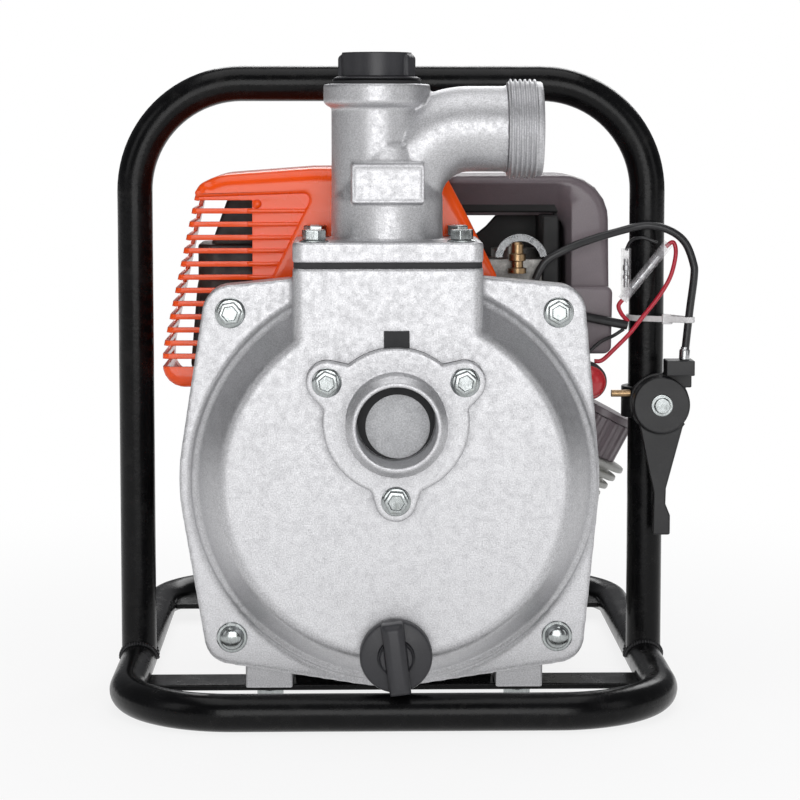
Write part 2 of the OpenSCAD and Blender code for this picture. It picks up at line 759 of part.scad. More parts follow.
module piston() color("#b9bbbd") translate([0, engine_y, wrist_z]) difference() {
    translate([0, 0, -skirt_h]) cylinder(r = bore_r - slide_gap, h = skirt_h + crown_h);
    translate([0, 0, -skirt_h - cut]) cylinder(r = bore_r - 4, h = skirt_h + crown_h - 4);
    along_y([0, -30, 0]) cylinder(r = wrist_r + run_gap, h = 60);
    for (i = [0, 1]) translate([0, 0, crown_h - 5 - 4 * i]) difference() {
        cylinder(r = bore_r + 1, h = 1.2);
        translate([0, 0, -cut]) cylinder(r = bore_r - 1.5, h = 4);
    }
}

module connecting_rod() color("#8d9093") {
    pin_z = wrist_z - rod_len;
    along_y([0, engine_y - 14, wrist_z]) cylinder(r = wrist_r, h = 28);
    along_y([0, engine_y - 4, wrist_z]) cylinder(r = 8.5, h = 8);
    along_y([0, engine_y - 6.5, pin_z]) cylinder(r = 10.5, h = 13);
    box([-4, engine_y - 3, pin_z + 8], [4, engine_y + 3, wrist_z - 6]);
}

module crank_web(y0) along_y([0, y0, shaft_z]) difference() {
    cylinder(r = web_r, h = 10);
    for (s = [-1, 1]) translate([s * 24, -18, -cut]) cylinder(r = 12, h = 12);
}

module crankshaft() color("#8d9093") {
    along_y([0, hub_front_y + 3.5, shaft_z]) cylinder(r = 6, h = 12);
    along_y([0, rear_wall_y - 2.9, shaft_z]) cylinder(r = journal_r, h = engine_y - 9 - rear_wall_y);
    crank_web(engine_y - 18);
    crank_web(engine_y + 8);
    along_y([0, engine_y + 17, shaft_z]) cylinder(r = journal_r, h = flywheel_y + 10 - engine_y - 17);
}

module flywheel() color("#9fa1a3") difference() {
    union() {
        along_y([0, flywheel_y, shaft_z]) cylinder(r = flywheel_r, h = 10);
        along_y([0, flywheel_y - 4, shaft_z]) cylinder(r = 14, h = 18);
        along_y([0, flywheel_y + 9, shaft_z]) for (a = [0 : 30 : 330]) rotate(a)
            translate([24, -1.2, 0]) cube([flywheel_r - 25, 2.4, 13]);
    }
    along_y([0, flywheel_y - 10, shaft_z]) cylinder(r = journal_r + bolt_gap, h = 20 + bolt_gap);
}

module ignition_coil() color("#1c1c1e") {
    half_w = coil_leg_x + coil_leg_w / 2;
    for (s = [-1, 1]) translate([s * coil_leg_x - coil_leg_w / 2, flywheel_y, coil_z])
        cube([coil_leg_w, 9, coil_leg_h]);
    box([-half_w, flywheel_y, coil_z + 9], [half_w, flywheel_y + 9, coil_z + 16]);
    box([-11, flywheel_y - 1, coil_z + 15], [11, flywheel_y + 10, coil_z + 25]);
    cord(lead_route, 2.8);
    translate([0, engine_y, head_z + 11]) difference() {
        cylinder(r = 8.5, h = 18);
        translate([0, 0, -cut]) cylinder(r = 6, h = 15 + cut);
    }
}

module spark_plug() color("#d5d6d8") translate([0, engine_y, head_z]) {
    translate([0, 0, -9]) cylinder(r = 5, h = 10);
    cylinder(r = 12 / sqrt(3) + 2, h = 7, $fn = 6);
    cylinder(r = 4.5, h = 18);
    translate([0, 0, 17]) cylinder(r = 3, h = 6);
}

module fan_housing() color("#2b2b2e") {
    difference() {
        along_y([0, case_rear_y, shaft_z]) cylinder(r = fan_r, h = fan_rear_y - case_rear_y);
        along_y([0, case_rear_y + 3, shaft_z]) cylinder(r = fan_r - 3, h = 100);
        along_y([0, case_rear_y - cut, shaft_z]) cylinder(r = journal_r + 3, h = 10);
        box([-26, case_rear_y - cut, shaft_z + 40], [26, fan_rear_y - 8, shaft_z + 80]);
    }
    // lugs that hold the ignition coil
    for (s = [-1, 1]) {
        x0 = s * coil_leg_x - coil_leg_w / 2;
        x1 = x0 + coil_leg_w;
        box([x0, case_rear_y, shaft_z + 33], [x1, flywheel_y - 1.5, coil_z + coil_leg_h]);
        box([x0, flywheel_y - 2, coil_z + 2], [x1, flywheel_y, coil_z + coil_leg_h]);
    }
}

// Legs that reach back to the isolators
module rear_legs() difference() {
    leg_low = plate_top + isolator_h;
    for (s = [-1, 1]) {
        x0 = s * isolator_x - 9;
        box([x0, fan_rear_y + 8, leg_low], [x0 + 18, starter_rear_y, shaft_z - 46]);
        box([x0, fan_rear_y + 8, leg_low], [x0 + 18, rear_plate_y + 10, leg_low + 12]);
    }
    along_y([0, 0, shaft_z]) cylinder(r = fan_r - 1.5, h = 200);
    for (s = [-1, 1]) translate([s * isolator_x, rear_plate_y, 0])
        cylinder(r = foot_bolt_r + bolt_gap, h = leg_low + 20);
}

module starter_housing() color("#232326") difference() {
    union() {
        rear_legs();
        difference() {
            along_y([0, fan_rear_y, shaft_z]) cylinder(r = fan_r, h = starter_rear_y - fan_rear_y);
            along_y([0, fan_rear_y - cut, shaft_z])
                cylinder(r = fan_r - 3, h = starter_rear_y - fan_rear_y - 2);
        }
        along_y([0, pulley_y - 9, shaft_z]) cylinder(r = 7, h = starter_rear_y - pulley_y + 8);
        translate([rope_x, pulley_y, shaft_z + 48]) cylinder(r = 7, h = 14);
    }
    for (a = [0 : 30 : 330]) along_y([0, starter_rear_y - 10, shaft_z]) rotate(a)
        translate([34, -3, 0]) cube([16, 6, 20]);
    translate([rope_x, pulley_y, shaft_z + 20]) cylinder(r = rope_r + 0.4, h = 80);
}

module starter_pulley() color("#3a3a3c") difference() {
    union() {
        for (y = [-5, 3.5]) along_y([0, pulley_y + y, shaft_z]) cylinder(r = pulley_r, h = 1.5);
        along_y([0, pulley_y - 4, shaft_z]) cylinder(r = pulley_r - 6, h = 8);
    }
    along_y([0, pulley_y - 20, shaft_z]) cylinder(r = 7 + slide_gap, h = 40);
}

module starter_handle() color("#1c1c1e") translate([rope_x, pulley_y, shaft_z + 63]) {
    translate([0, 0, 7]) cube([46, 13, 13], center = true);
    for (s = [-1, 1]) along_y([s * 23, -6.5, 7]) cylinder(r = 6.5, h = 13);
    translate([0, 0, -rope_len]) cylinder(r = rope_r, h = rope_len + 2, $fn = 24);
}

module muffler() color("#2a2a2c") {
    right_x = muffler_x + muffler_w / 2;
    difference() {
        translate([muffler_x, engine_y, muffler_low]) linear_extrude(muffler_h)
            round_rect(muffler_w, muffler_d, 9);
        translate([muffler_x, engine_y, muffler_low + muffler_wall])
            linear_extrude(muffler_h - 2 * muffler_wall)
            round_rect(muffler_w - 2 * muffler_wall, muffler_d - 2 * muffler_wall, 7.4);
        along_x([muffler_x, engine_y, port_z]) cylinder(r = port_r, h = muffler_w);
        translate([muffler_x - 10, engine_y, muffler_low - cut]) cylinder(r = 5, h = 10);
    }
    difference() {
        along_x([right_x - 1, engine_y, port_z]) cylinder(r = 12, h = 1 - right_x - fin_half - 5);
        along_x([muffler_x, engine_y, port_z]) cylinder(r = port_r, h = muffler_w);
    }
}

// Front outline of the orange cover, in X and Z
module cover_outline() {
    polygon([[-88, 259.5], [-40, 264.5], [20, 264.5], [27, 261], [52, 211], [52, 163],
        [-48, 163], [-48, 155], [-102, 155], [-111, 158], [-116, 166], [-116.5, 173], [-100, 247],
        [-96, 255]]);
}

module engine_cover() color("#f2551f") difference() {
    push_back(cover_y, cover_d) cover_outline();
    difference() {
        push_back(cover_y + cover_wall, cover_d) offset(delta = -cover_wall) cover_outline();
        // posts that stand on the cylinder head
        for (s = [-1, 1]) translate([s * 17, engine_y - 10, head_z]) cylinder(r = 3.5, h = 60);
    }
    // underside and sloping right side stand open behind the front wall
    box([-109, cover_y + cover_wall, 140], [60, cover_y + cover_d + 1, 166]);
    box([22, cover_y + cover_wall, 150], [60, cover_y + cover_d + 1, 266]);
    for (i = [0 : slot_count - 1])
        box([-130, cover_y - 5, slot_low + i * slot_pitch],
            [-70, cover_y + cover_d - 12, slot_low + i * slot_pitch + slot_h]);
}

// ---- carburettor and air filter ----

module carburettor() color("#b4b2ae") {
    front_y = engine_y - 16;
    difference() {
        union() {
            along_x([fin_half + 5, engine_y, intake_z]) cylinder(r = 11, h = 14);
            box([48, front_y, intake_z - 16], [76, engine_y + 16, intake_z + 20]);
            translate([63, engine_y + 2, intake_z + 19]) cylinder(r = 12, h = 6);
            translate([60, front_y + 5, intake_z + 19]) cylinder(r = 4, h = 8);
            box([66, front_y - 9, intake_z + 6], [76, front_y + 1, intake_z + 9]);
        }
        along_x([0, engine_y, intake_z]) cylinder(r = port_r, h = 100);
        translate([62, engine_y, intake_z - 17]) cylinder(r = 7.8, h = 7.5);
        translate([cable_route[0][0], cable_route[0][1], intake_z]) cylinder(r = 1, h = 20);
    }
    along_y([60, front_y - 3, arm_z]) cylinder(r = 2.5, h = 4);
}

module throttle_arm() color("#8d9093") translate([60, engine_y - 17, arm_z])
    rotate([90, 0, 0]) difference() {
        union() {
            cylinder(r = 5, h = 2);
            translate([0, -2.5]) cube([12, 5, 2]);
            translate([12, 0]) cylinder(r = 3.5, h = 2);
        }
        translate([0, 0, -cut]) cylinder(r = 2.5 + slide_gap, h = 5);
    }

module primer_bulb() color("#d9d2c0") translate([62, engine_y, intake_z - 20]) {
    sphere(r = 7.5, $fn = 48);
    cylinder(r = 7, h = 5);
}

module air_filter_base() color("#1d1b1c") {
    difference() {
        box([76, engine_y - 18, intake_z - 26], [84, engine_y + 40, 240]);
        along_x([70, engine_y, intake_z]) cylinder(r = 10, h = 40);
    }
    difference() {
        box([31, filter_y + 2, 241], [88, filter_y + filter_d - 2, 255.5]);
        box([33, filter_y + 5, 239], [86, filter_y + filter_d - 5, 252]);
    }
    box([84, filter_y + 4, 200], [87, filter_y + filter_d - 6, 243]);
}

// Front outline of the filter cover: top lip, round shoulder, right leg
module filter_outline() {
    polygon(concat([[29, 255.5], [29, 262]],
        [for (a = [88 : -11 : 0]) [88 + 22 * cos(a), 236 + 22 * sin(a)]],
        [[110.5, 197], [91, 197], [91, 255.5]]));
}

module air_filter_cover() color("#7d7179") {
    difference() {
        push_back(filter_y, filter_d) filter_outline();
        box([80, filter_y + 2.5, 202], [108, filter_y + filter_d - 2.5, 240]);
    }
    // lower guard that carries the stop switch
    difference() {
        box([91.5, -34, 148], [112, -10, 197]);
        box([94, -31.5, 140], [109.5, -12.5, 194.5]);
        along_y([stop_at[0], -40, stop_at[2]]) cylinder(r = 5.1, h = 10);
    }
}

// ---- fuel ----

// Turns a piece modelled along +Z onto the axis of the tilted filler neck
module on_filler() translate(neck_base) rotate([0, cap_tilt, 0]) children();

module tank_solid(inset) {
    top_cut = 2 * inset;
    translate([0, (6 + case_front_y) / 2, tank_low + inset]) linear_extrude(tank_top - tank_low - top_cut)
        offset(delta = -inset) round_rect(132, 6 - case_front_y, 10);
    translate([81, 6, tank_low + inset]) linear_extrude(96 - tank_low - top_cut)
        offset(delta = -inset) round_rect(38, 56, 10);
    translate([60, -9, tank_low + inset]) linear_extrude(tank_top - tank_low - top_cut)
        offset(delta = -inset) square([34, 24], center = true);
}

module fuel_tank() color("#c9c9c4") difference() {
    union() {
        difference() {
            tank_solid(0);
            tank_solid(tank_wall);
        }
        on_filler() {
            for (i = [0 : 3]) translate([0, 0, -8 + i * 5.5]) cylinder(r = 19.5 + 1.6 * i, h = 3.2);
            translate([0, 0, -20]) cylinder(r = cap_r, h = 20 + neck_rise - 8.3);
            cylinder(r = fuel_bore_r + 2.5, h = neck_rise + 4);
        }
    }
    on_filler() translate([0, 0, -22]) cylinder(r = fuel_bore_r, h = 60);
}

module fuel_cap_seal() color("#202022") on_filler() translate([0, 0, neck_rise + 4]) difference() {
    cylinder(r = fuel_bore_r + 2.3, h = 1.6);
    translate([0, 0, -cut]) cylinder(r = fuel_bore_r - 1, h = 5);
}

module cap_outline() {
    circle(cap_r);
    for (a = [0 : 20 : 340]) rotate(a) translate([cap_r - 1, -1.2]) square([1.8, 2.4]);
}

module fuel_cap() color("#82767c") on_filler() translate([0, 0, neck_rise - 8]) difference() {
    union() {
        linear_extrude(cap_h - 4) cap_outline();
        translate([0, 0, cap_h - 5]) cylinder(r = cap_r - 0.6, h = 5);
    }
    translate([0, 0, -cut]) cylinder(r = fuel_bore_r + 2.5 + slide_gap, h = 13.6 + cut);
}

module fuel_hose() color("#3b3a2e") cord(hose_route, 2.2);

// ---- throttle control ----

module throttle_bracket() color("#1e1e20") {
    difference() {
        union() {
            translate([side_x, hoop_y, hub_z - 8]) cylinder(r = tube_r + 3.5, h = 16);
            box([side_x - 8, hub_y + hub_t + 0.5, hub_z - 8], [side_x + 14, hoop_y, hub_z + 8]);
            along_y([hub_x, hub_y + hub_t + 0.4, hub_z]) cylinder(r = hub_r + 1, h = 2.6);
            box([hub_x + 2, hub_y + hub_t + 0.4, hub_z + 8], [hub_x + 16.5, hub_y + hub_t + 3, block_top]);
            box([hub_x + 2, hub_y - 1, hub_z + hub_r + 0.6], [hub_x + 16.5, hub_y + hub_t + 3, block_top]);
        }
        translate([side_x, hoop_y, hub_z - 20]) cylinder(r = tube_r, h = 40);
        along_y([hub_x, hub_y - 10, hub_z]) cylinder(r = pivot_r + bolt_gap, h = 40);
        translate([lever_end[0], lever_end[1], block_top - 12]) cylinder(r = 1, h = 20);
    }
}

module throttle_lever() color("#242427") {
    difference() {
        union() {
            along_y([hub_x, hub_y, hub_z]) cylinder(r = hub_r, h = hub_t);
            push_back(hub_y + 2, hub_t - 4) polygon([
                [hub_x - 12, hub_z - 5], [hub_x - 3.5, hub_z - lever_len + 22],
                [hub_x - 4, hub_z - lever_len], [hub_x + 5, hub_z - lever_len],
                [hub_x + 5, hub_z - lever_len + 10], [hub_x + 2.6, hub_z - lever_len + 16],
                [hub_x + 2.8, hub_z - lever_len + 24], [hub_x + 12.5, hub_z - 6]]);
        }
        along_y([hub_x, hub_y - 5, hub_z]) cylinder(r = pivot_r + slide_gap, h = 40);
    }
}

module throttle_screw() color("#cfd1d3") {
    along_y([hub_x, hub_y - 0.8, hub_z]) cylinder(r = 5.6, h = 0.8);
    along_y([hub_x, hub_y - 3.2, hub_z]) cylinder(r = 3.9, h = 2.6);
    along_y([hub_x, hub_y - 1, hub_z]) cylinder(r = pivot_r, h = 14.8);
}

module throttle_adjuster() color("#b5924c") {
    along_x([side_x - 19, hub_y + hub_t + 1.9, hub_z + 5]) cylinder(r = 1.8, h = 10);
}

module throttle_cable() color("#1a1a1c") {
    cord(cable_route, cable_od / 2, 8, 4);
    translate(lever_end) cylinder(r = 2.6, h = 6);
}

// ---- stop switch and wires ----

module stop_switch() color("#1c1c1e") difference() {
    union() {
        along_y(stop_at) cylinder(r = 9.5, h = 12);
        along_y([stop_at[0], stop_at[1] + 11, stop_at[2]]) cylinder(r = 5, h = 15);
    }
    along_y([stop_at[0], stop_at[1] - 10, stop_at[2]]) cylinder(r = 3 + slide_gap, h = 30);
}

module stop_button() color("#c0202c") {
    along_y([stop_at[0], stop_at[1] - 3, stop_at[2]]) cylinder(r = 3, h = 14);
    along_y([stop_at[0], stop_at[1] - 4.5, stop_at[2]]) cylinder(r = 8.4, h = 2);
    translate(stop_at) intersection() {
        translate([0, -1.9, 0]) sphere(r = 8.4, $fn = 64);
        translate([-10, -14, -10]) cube([20, 9.5, 20]);
    }
}

module red_wire() color("#a8323c") {
    cord(red_route, 1.1);
    cord(red_tail_route, 1.1);
}

module black_wires() color("#161617") {
    cord(sleeve_route, 2.4);
    cord(black_route, 0.9);
    cord(black_loop_route, 0.9);
}

// Open sleeve over a joint in a wire, standing up from the point and leaning to the right
module sleeve(at, lean, length) translate(at) rotate([0, lean, 0]) difference() {
    cylinder(r = 2.6, h = length);
    translate([0, 0, -cut]) cylinder(r = 1.6, h = length + 2 * cut);
}

module wire_connectors() color("#d8d4d6") {
    sleeve(red_tail_route[0], 39, 37);
    sleeve([loop_x, -30.5, 198], 0, 25);
}

module cable_tie() color("#e2e0de") {
    tie_z = 185.5;
    difference() {
        translate([0, 0, tie_z]) linear_extrude(3) hull() {
            translate([side_x, hoop_y]) circle(tube_r + 1.2);
            translate([side_x + 19.5, -40]) circle(cable_od / 2 + 1.2, $fn = 32);
        }
        translate([0, 0, tie_z - cut]) linear_extrude(5) hull() {
            translate([side_x, hoop_y]) circle(tube_r);
            translate([side_x + 19.5, -40]) circle(cable_od / 2, $fn = 32);
        }
    }
    box([side_x + 6.5, -38, tie_z - 1], [side_x + 11.5, -35, tie_z + 4]);
}

base_loop();
handle_hoop();
front_cross_plate();
rear_cross_plate();
foot_bolts();
rear_isolators();
pump_front_casing();
pump_rear_casing();
casing_gasket();
casing_bolts();
volute();
impeller();
seal_seat();
seal_rotor();
outlet_gasket();
outlet_elbow();
outlet_bolts();
priming_plug();
priming_plug_seal();
inlet_gasket();
inlet_flap();
inlet_flange();
inlet_bolts();
drain_plug();
drain_plug_seal();
crankcase_front();
crankcase_rear();
engine_cylinder();
piston();
connecting_rod();
crankshaft();
flywheel();
ignition_coil();
spark_plug();
fan_housing();
starter_housing();
starter_pulley();
starter_handle();
muffler();
engine_cover();
carburettor();
throttle_arm();
air_filter_base();
air_filter_cover();
primer_bulb();
fuel_tank();
fuel_cap();
fuel_cap_seal();
fuel_hose();
throttle_bracket();
throttle_lever();
throttle_screw();
throttle_adjuster();
throttle_cable();
stop_switch();
stop_button();
red_wire();
black_wires();
wire_connectors();
cable_tie();
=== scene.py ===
import json
import math

import bmesh
import bpy
from mathutils import Matrix, Vector


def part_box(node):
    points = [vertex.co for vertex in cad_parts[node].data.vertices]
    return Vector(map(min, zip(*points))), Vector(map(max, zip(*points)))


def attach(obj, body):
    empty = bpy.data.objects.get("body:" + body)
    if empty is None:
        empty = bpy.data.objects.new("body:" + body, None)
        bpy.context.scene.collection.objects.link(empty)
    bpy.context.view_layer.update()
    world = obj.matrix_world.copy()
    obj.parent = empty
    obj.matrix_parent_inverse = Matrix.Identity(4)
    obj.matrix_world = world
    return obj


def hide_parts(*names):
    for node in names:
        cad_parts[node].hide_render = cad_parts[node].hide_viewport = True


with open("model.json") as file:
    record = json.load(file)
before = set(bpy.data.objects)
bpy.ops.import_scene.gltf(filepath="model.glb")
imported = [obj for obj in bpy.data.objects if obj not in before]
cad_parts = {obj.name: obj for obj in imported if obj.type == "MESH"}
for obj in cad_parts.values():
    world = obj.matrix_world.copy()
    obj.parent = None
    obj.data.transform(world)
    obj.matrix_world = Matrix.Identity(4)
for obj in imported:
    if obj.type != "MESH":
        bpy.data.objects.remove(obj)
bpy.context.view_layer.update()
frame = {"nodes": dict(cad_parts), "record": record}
RECORD = frame["record"]
BODY = {node: body for body, nodes in RECORD["behaviour"]["bodies"].items() for node in nodes}
SLOT = {part["node"]: part["material_slot"] for part in RECORD["subparts"]}
MM = 0.001


# ---- camera ----

def set_camera():
    data = bpy.data.cameras.new("studio_camera")
    data.lens = 108
    data.sensor_width = 36
    data.clip_start = 0.05
    data.clip_end = 60
    data.shift_x = 0
    data.shift_y = -0.08
    camera = bpy.data.objects.new("studio_camera", data)
    bpy.context.scene.collection.objects.link(camera)
    camera.location = (-0.0213, -1.256, 0.286)
    camera.rotation_euler = (math.radians(90 - 5.03), 0, math.radians(-1.19))
    bpy.context.scene.camera = camera


set_camera()


# ---- shader maths ----

class Value:
    """One output of a shader node; arithmetic on it adds Math nodes."""

    def __init__(self, finish, socket):
        self.finish = finish
        self.socket = socket

    def maths(self, operation, first, second):
        return self.finish.add("ShaderNodeMath", {"operation": operation}, {0: first, 1: second})

    def __add__(self, other):
        return self.maths("ADD", self, other)

    def __sub__(self, other):
        return self.maths("SUBTRACT", self, other)

    def __rsub__(self, other):
        return self.maths("SUBTRACT", other, self)

    def __mul__(self, other):
        return self.maths("MULTIPLY", self, other)

    def __gt__(self, other):
        return self.maths("GREATER_THAN", self, other)

    __radd__ = __add__
    __rmul__ = __mul__


class Finish:
    """A material, or the world, being built; every node comes from node()."""

    def __init__(self, name, owner=None):
        self.owner = owner or bpy.data.materials.new(name)
        self.owner.use_nodes = True
        self.tree = self.owner.node_tree
        self.tree.nodes.clear()

    def node(self, kind, settings=None, sockets=None):
        node = self.tree.nodes.new(kind)
        for key, setting in (settings or {}).items():
            setattr(node, key, setting)
        for key, value in (sockets or {}).items():
            if isinstance(value, Value):
                self.tree.links.new(value.socket, node.inputs[key])
            else:
                node.inputs[key].default_value = value
        return node

    def add(self, kind, settings=None, sockets=None, out=0):
        return Value(self, self.node(kind, settings, sockets).outputs[out])

    def surface(self, shader, output="ShaderNodeOutputMaterial"):
        self.node(output, None, {"Surface": shader})
        return self.owner

    def place(self):
        return self.add("ShaderNodeTexCoord", out="Object")

    def stretch(self, scale):
        return self.add("ShaderNodeMapping", None, {"Vector": self.place(), "Scale": scale})

    def noise(self, scale, detail=3.0, rough=0.55, vector=None):
        return self.add("ShaderNodeTexNoise", None, {
            "Vector": vector or self.place(), "Scale": scale, "Detail": detail, "Roughness": rough})

    def cells(self, scale):
        return self.add("ShaderNodeTexVoronoi", None, {"Vector": self.place(), "Scale": scale},
                        "Distance")

    def ramp(self, value, low, high, to_low=0.0, to_high=1.0):
        """Smooth step from low to high."""
        return self.add("ShaderNodeMapRange", {"interpolation_type": "SMOOTHSTEP"}, {
            "Value": value, "From Min": low, "From Max": high, "To Min": to_low, "To Max": to_high})

    def blend(self, factor, first, second):
        """Mix of two colours; RGBA colours are inputs 6 and 7 and output 2 of a Mix node."""
        return self.add("ShaderNodeMix", {"data_type": "RGBA"}, {0: factor, 6: first, 7: second}, 2)

    def bump(self, height, strength, depth, normal=None):
        sockets = {"Height": height, "Strength": strength, "Distance": depth}
        if normal:
            sockets["Normal"] = normal
        return self.add("ShaderNodeBump", None, sockets)

    def ray(self, kind):
        """One where the ray is of the named kind, zero elsewhere."""
        return self.add("ShaderNodeLightPath", out="Is " + kind + " Ray")

    def soft_edges(self, radius):
        return self.add("ShaderNodeBevel", {"samples": 4}, {"Radius": radius})

    def shader(self, **sockets):
        return self.add("ShaderNodeBsdfPrincipled", None,
                        {key.replace("_", " "): value for key, value in sockets.items()})


def colour(red, green, blue, shade=1.0):
    return (red * shade, green * shade, blue * shade, 1)


def cast_metal(name, tone, metallic, rough, grain, edge, coarse=0.00012):
    """Bead-blasted casting: fine grain, faint waves, small dark pits and a trace of soil."""
    f = Finish(name)
    fine = f.noise(grain, 2.0, 0.7)
    middle = f.noise(grain * 0.24, 4.0, 0.6)
    wide = f.noise(16.0, 3.0, 0.5)
    pits = f.ramp(f.cells(grain * 0.30), 0.08, 0.20)
    soil = f.ramp(f.noise(38.0, 5.0, 0.62), 0.60, 0.80)
    speckled = f.blend(f.ramp(fine, 0.32, 0.70), colour(*tone, 0.76), colour(*tone, 1.12))
    cloudy = f.blend(f.ramp(wide, 0.35, 0.70, 0.0, 0.20), speckled, colour(*tone, 0.92))
    pitted = f.blend(pits * 0.5 + 0.5, colour(*tone, 0.62), cloudy)
    base = f.blend(soil * 0.06, pitted, colour(0.30, 0.28, 0.27))
    height = fine * 0.7 + middle * 0.35 + pits * 0.35
    normal = f.bump(height, 0.55, coarse, f.soft_edges(edge))
    normal = f.bump(f.noise(48.0, 2.0, 0.5), 0.08, 0.0006, normal)
    rough_map = f.ramp(middle, 0.3, 0.75, rough - 0.07, rough + 0.09) + soil * 0.08
    return f.surface(f.shader(Base_Color=base, Metallic=metallic, Roughness=rough_map,
                              Normal=normal, IOR=1.5))


def powder_coat(name):
    """Black stoved paint on tube: faint orange peel, dust and pale scuffs."""
    f = Finish(name)
    peel = f.noise(420.0, 2.0, 0.5)
    wave = f.noise(60.0, 2.0, 0.5)
    scuffs = f.ramp(f.noise(900.0, 4.0, 0.75, f.stretch((1, 1, 0.12))), 0.66, 0.80)
    where = f.ramp(f.noise(24.0, 3.0, 0.6), 0.50, 0.72)
    dust = f.ramp(f.noise(110.0, 5.0, 0.7), 0.48, 0.85)
    base = f.blend(f.ramp(wave, 0.3, 0.7), colour(0.0028, 0.0028, 0.0031),
                   colour(0.0048, 0.0048, 0.0053))
    base = f.blend(scuffs * where * 0.5, base, colour(0.10, 0.10, 0.105))
    base = f.blend(dust * 0.05, base, colour(0.22, 0.21, 0.20))
    normal = f.bump(peel + wave * 1.5, 0.22, 0.00035, f.soft_edges(0.0008))
    rough = f.ramp(wave, 0.3, 0.7, 0.20, 0.28) + scuffs * where * 0.3 + dust * 0.10
    return f.surface(f.shader(Base_Color=base, Roughness=rough, Normal=normal, IOR=1.5,
                              Specular_IOR_Level=0.16))


def plated(name, tone, rough, grain=700.0, tint=(0.55, 0.60, 0.50)):
    """Plated or bright metal: fine streaks, small dull patches and a tinted stain."""
    f = Finish(name)
    streaks = f.noise(grain, 3.0, 0.7, f.stretch((1.0, 1.0, 0.22)))
    patches = f.noise(190.0, 4.0, 0.65)
    stain = f.ramp(f.noise(420.0, 4.0, 0.6), 0.52, 0.74)
    base = f.blend(f.ramp(streaks, 0.3, 0.75), colour(*tone, 0.80), colour(*tone, 1.10))
    base = f.blend(stain * 0.35, base, colour(*tint, 0.62))
    normal = f.bump(streaks * 0.6 + patches, 0.22, 0.00022, f.soft_edges(0.00035))
    rough_map = f.ramp(patches, 0.3, 0.72, rough - 0.06, rough + 0.12)
    return f.surface(f.shader(Base_Color=base, Metallic=1.0, Roughness=rough_map, Normal=normal))


def moulded(name, tone, rough, texture=900.0, depth=0.00012, edge=0.0006, coat=0.0,
            dusty=0.08, wear=(0.20, 0.20, 0.20)):
    """Moulded plastic: spark-eroded texture, faint flow marks, dust and rubbed spots."""
    f = Finish(name)
    grain = f.noise(texture, 3.0, 0.6)
    flow = f.noise(28.0, 3.0, 0.55, f.stretch((1.0, 1.0, 2.4)))
    rubbed = f.ramp(f.noise(70.0, 5.0, 0.7), 0.60, 0.80)
    dust = f.ramp(f.noise(230.0, 5.0, 0.72), 0.50, 0.86)
    base = f.blend(f.ramp(flow, 0.3, 0.7), colour(*tone, 0.90), colour(*tone, 1.10))
    base = f.blend(f.ramp(grain, 0.35, 0.70) * 0.30, base, colour(*tone, 1.35))
    base = f.blend((rubbed * 0.5 + dust * 0.6) * dusty, base, colour(*wear))
    normal = f.bump(grain + flow * 0.4, 0.45, depth, f.soft_edges(edge))
    rough_map = f.ramp(flow, 0.3, 0.7, rough - 0.04, rough + 0.05) + dust * 0.10 - rubbed * 0.05
    return f.surface(f.shader(Base_Color=base, Roughness=rough_map, Normal=normal,
                              Coat_Weight=coat, Coat_Roughness=0.10, IOR=1.48))


def rubber(name, tone, rough=0.62):
    """Moulded rubber with a bloom in its hollows."""
    f = Finish(name)
    grain = f.noise(1500.0, 3.0, 0.6)
    bloom = f.ramp(f.noise(140.0, 4.0, 0.65), 0.42, 0.80)
    lines = f.noise(300.0, 2.0, 0.5, f.stretch((1.0, 1.0, 3.0)))
    pale = colour(*(channel + 0.05 for channel in tone))
    base = f.blend(bloom * 0.25, colour(*tone), pale)
    base = f.blend(f.ramp(grain, 0.55, 0.85) * 0.3, base, colour(*tone, 1.6))
    normal = f.bump(grain * 0.6 + lines, 0.35, 0.00015, f.soft_edges(0.0005))
    rough_map = f.ramp(bloom, 0, 1, rough, rough + 0.16)
    return f.surface(f.shader(Base_Color=base, Roughness=rough_map, Normal=normal))


def gloss_cover(name):
    """Orange moulding with a clear gloss: slight sink marks, fine peel and hairline rubs."""
    f = Finish(name)
    sink = f.noise(22.0, 2.0, 0.5)
    peel = f.noise(620.0, 2.0, 0.5)
    rubs = f.ramp(f.noise(520.0, 5.0, 0.75, f.stretch((0.25, 1.0, 1.0))), 0.62, 0.84)
    dust = f.ramp(f.noise(150.0, 5.0, 0.7), 0.55, 0.88)
    base = f.blend(f.ramp(sink, 0.3, 0.7), colour(0.96, 0.082, 0.001),
                   colour(1.0, 0.098, 0.003))
    base = f.blend(rubs * 0.06 + dust * 0.03, base, colour(0.95, 0.36, 0.20))
    normal = f.bump(peel * 0.4 + sink * 2.0, 0.14, 0.0004, f.soft_edges(0.0010))
    rough = f.ramp(sink, 0.3, 0.7, 0.24, 0.31) + rubs * 0.12 + dust * 0.08
    return f.surface(f.shader(Base_Color=base, Roughness=rough, Normal=normal,
                              Coat_Weight=0.30, Coat_Roughness=0.10, IOR=1.45,
                              Specular_IOR_Level=0.35))


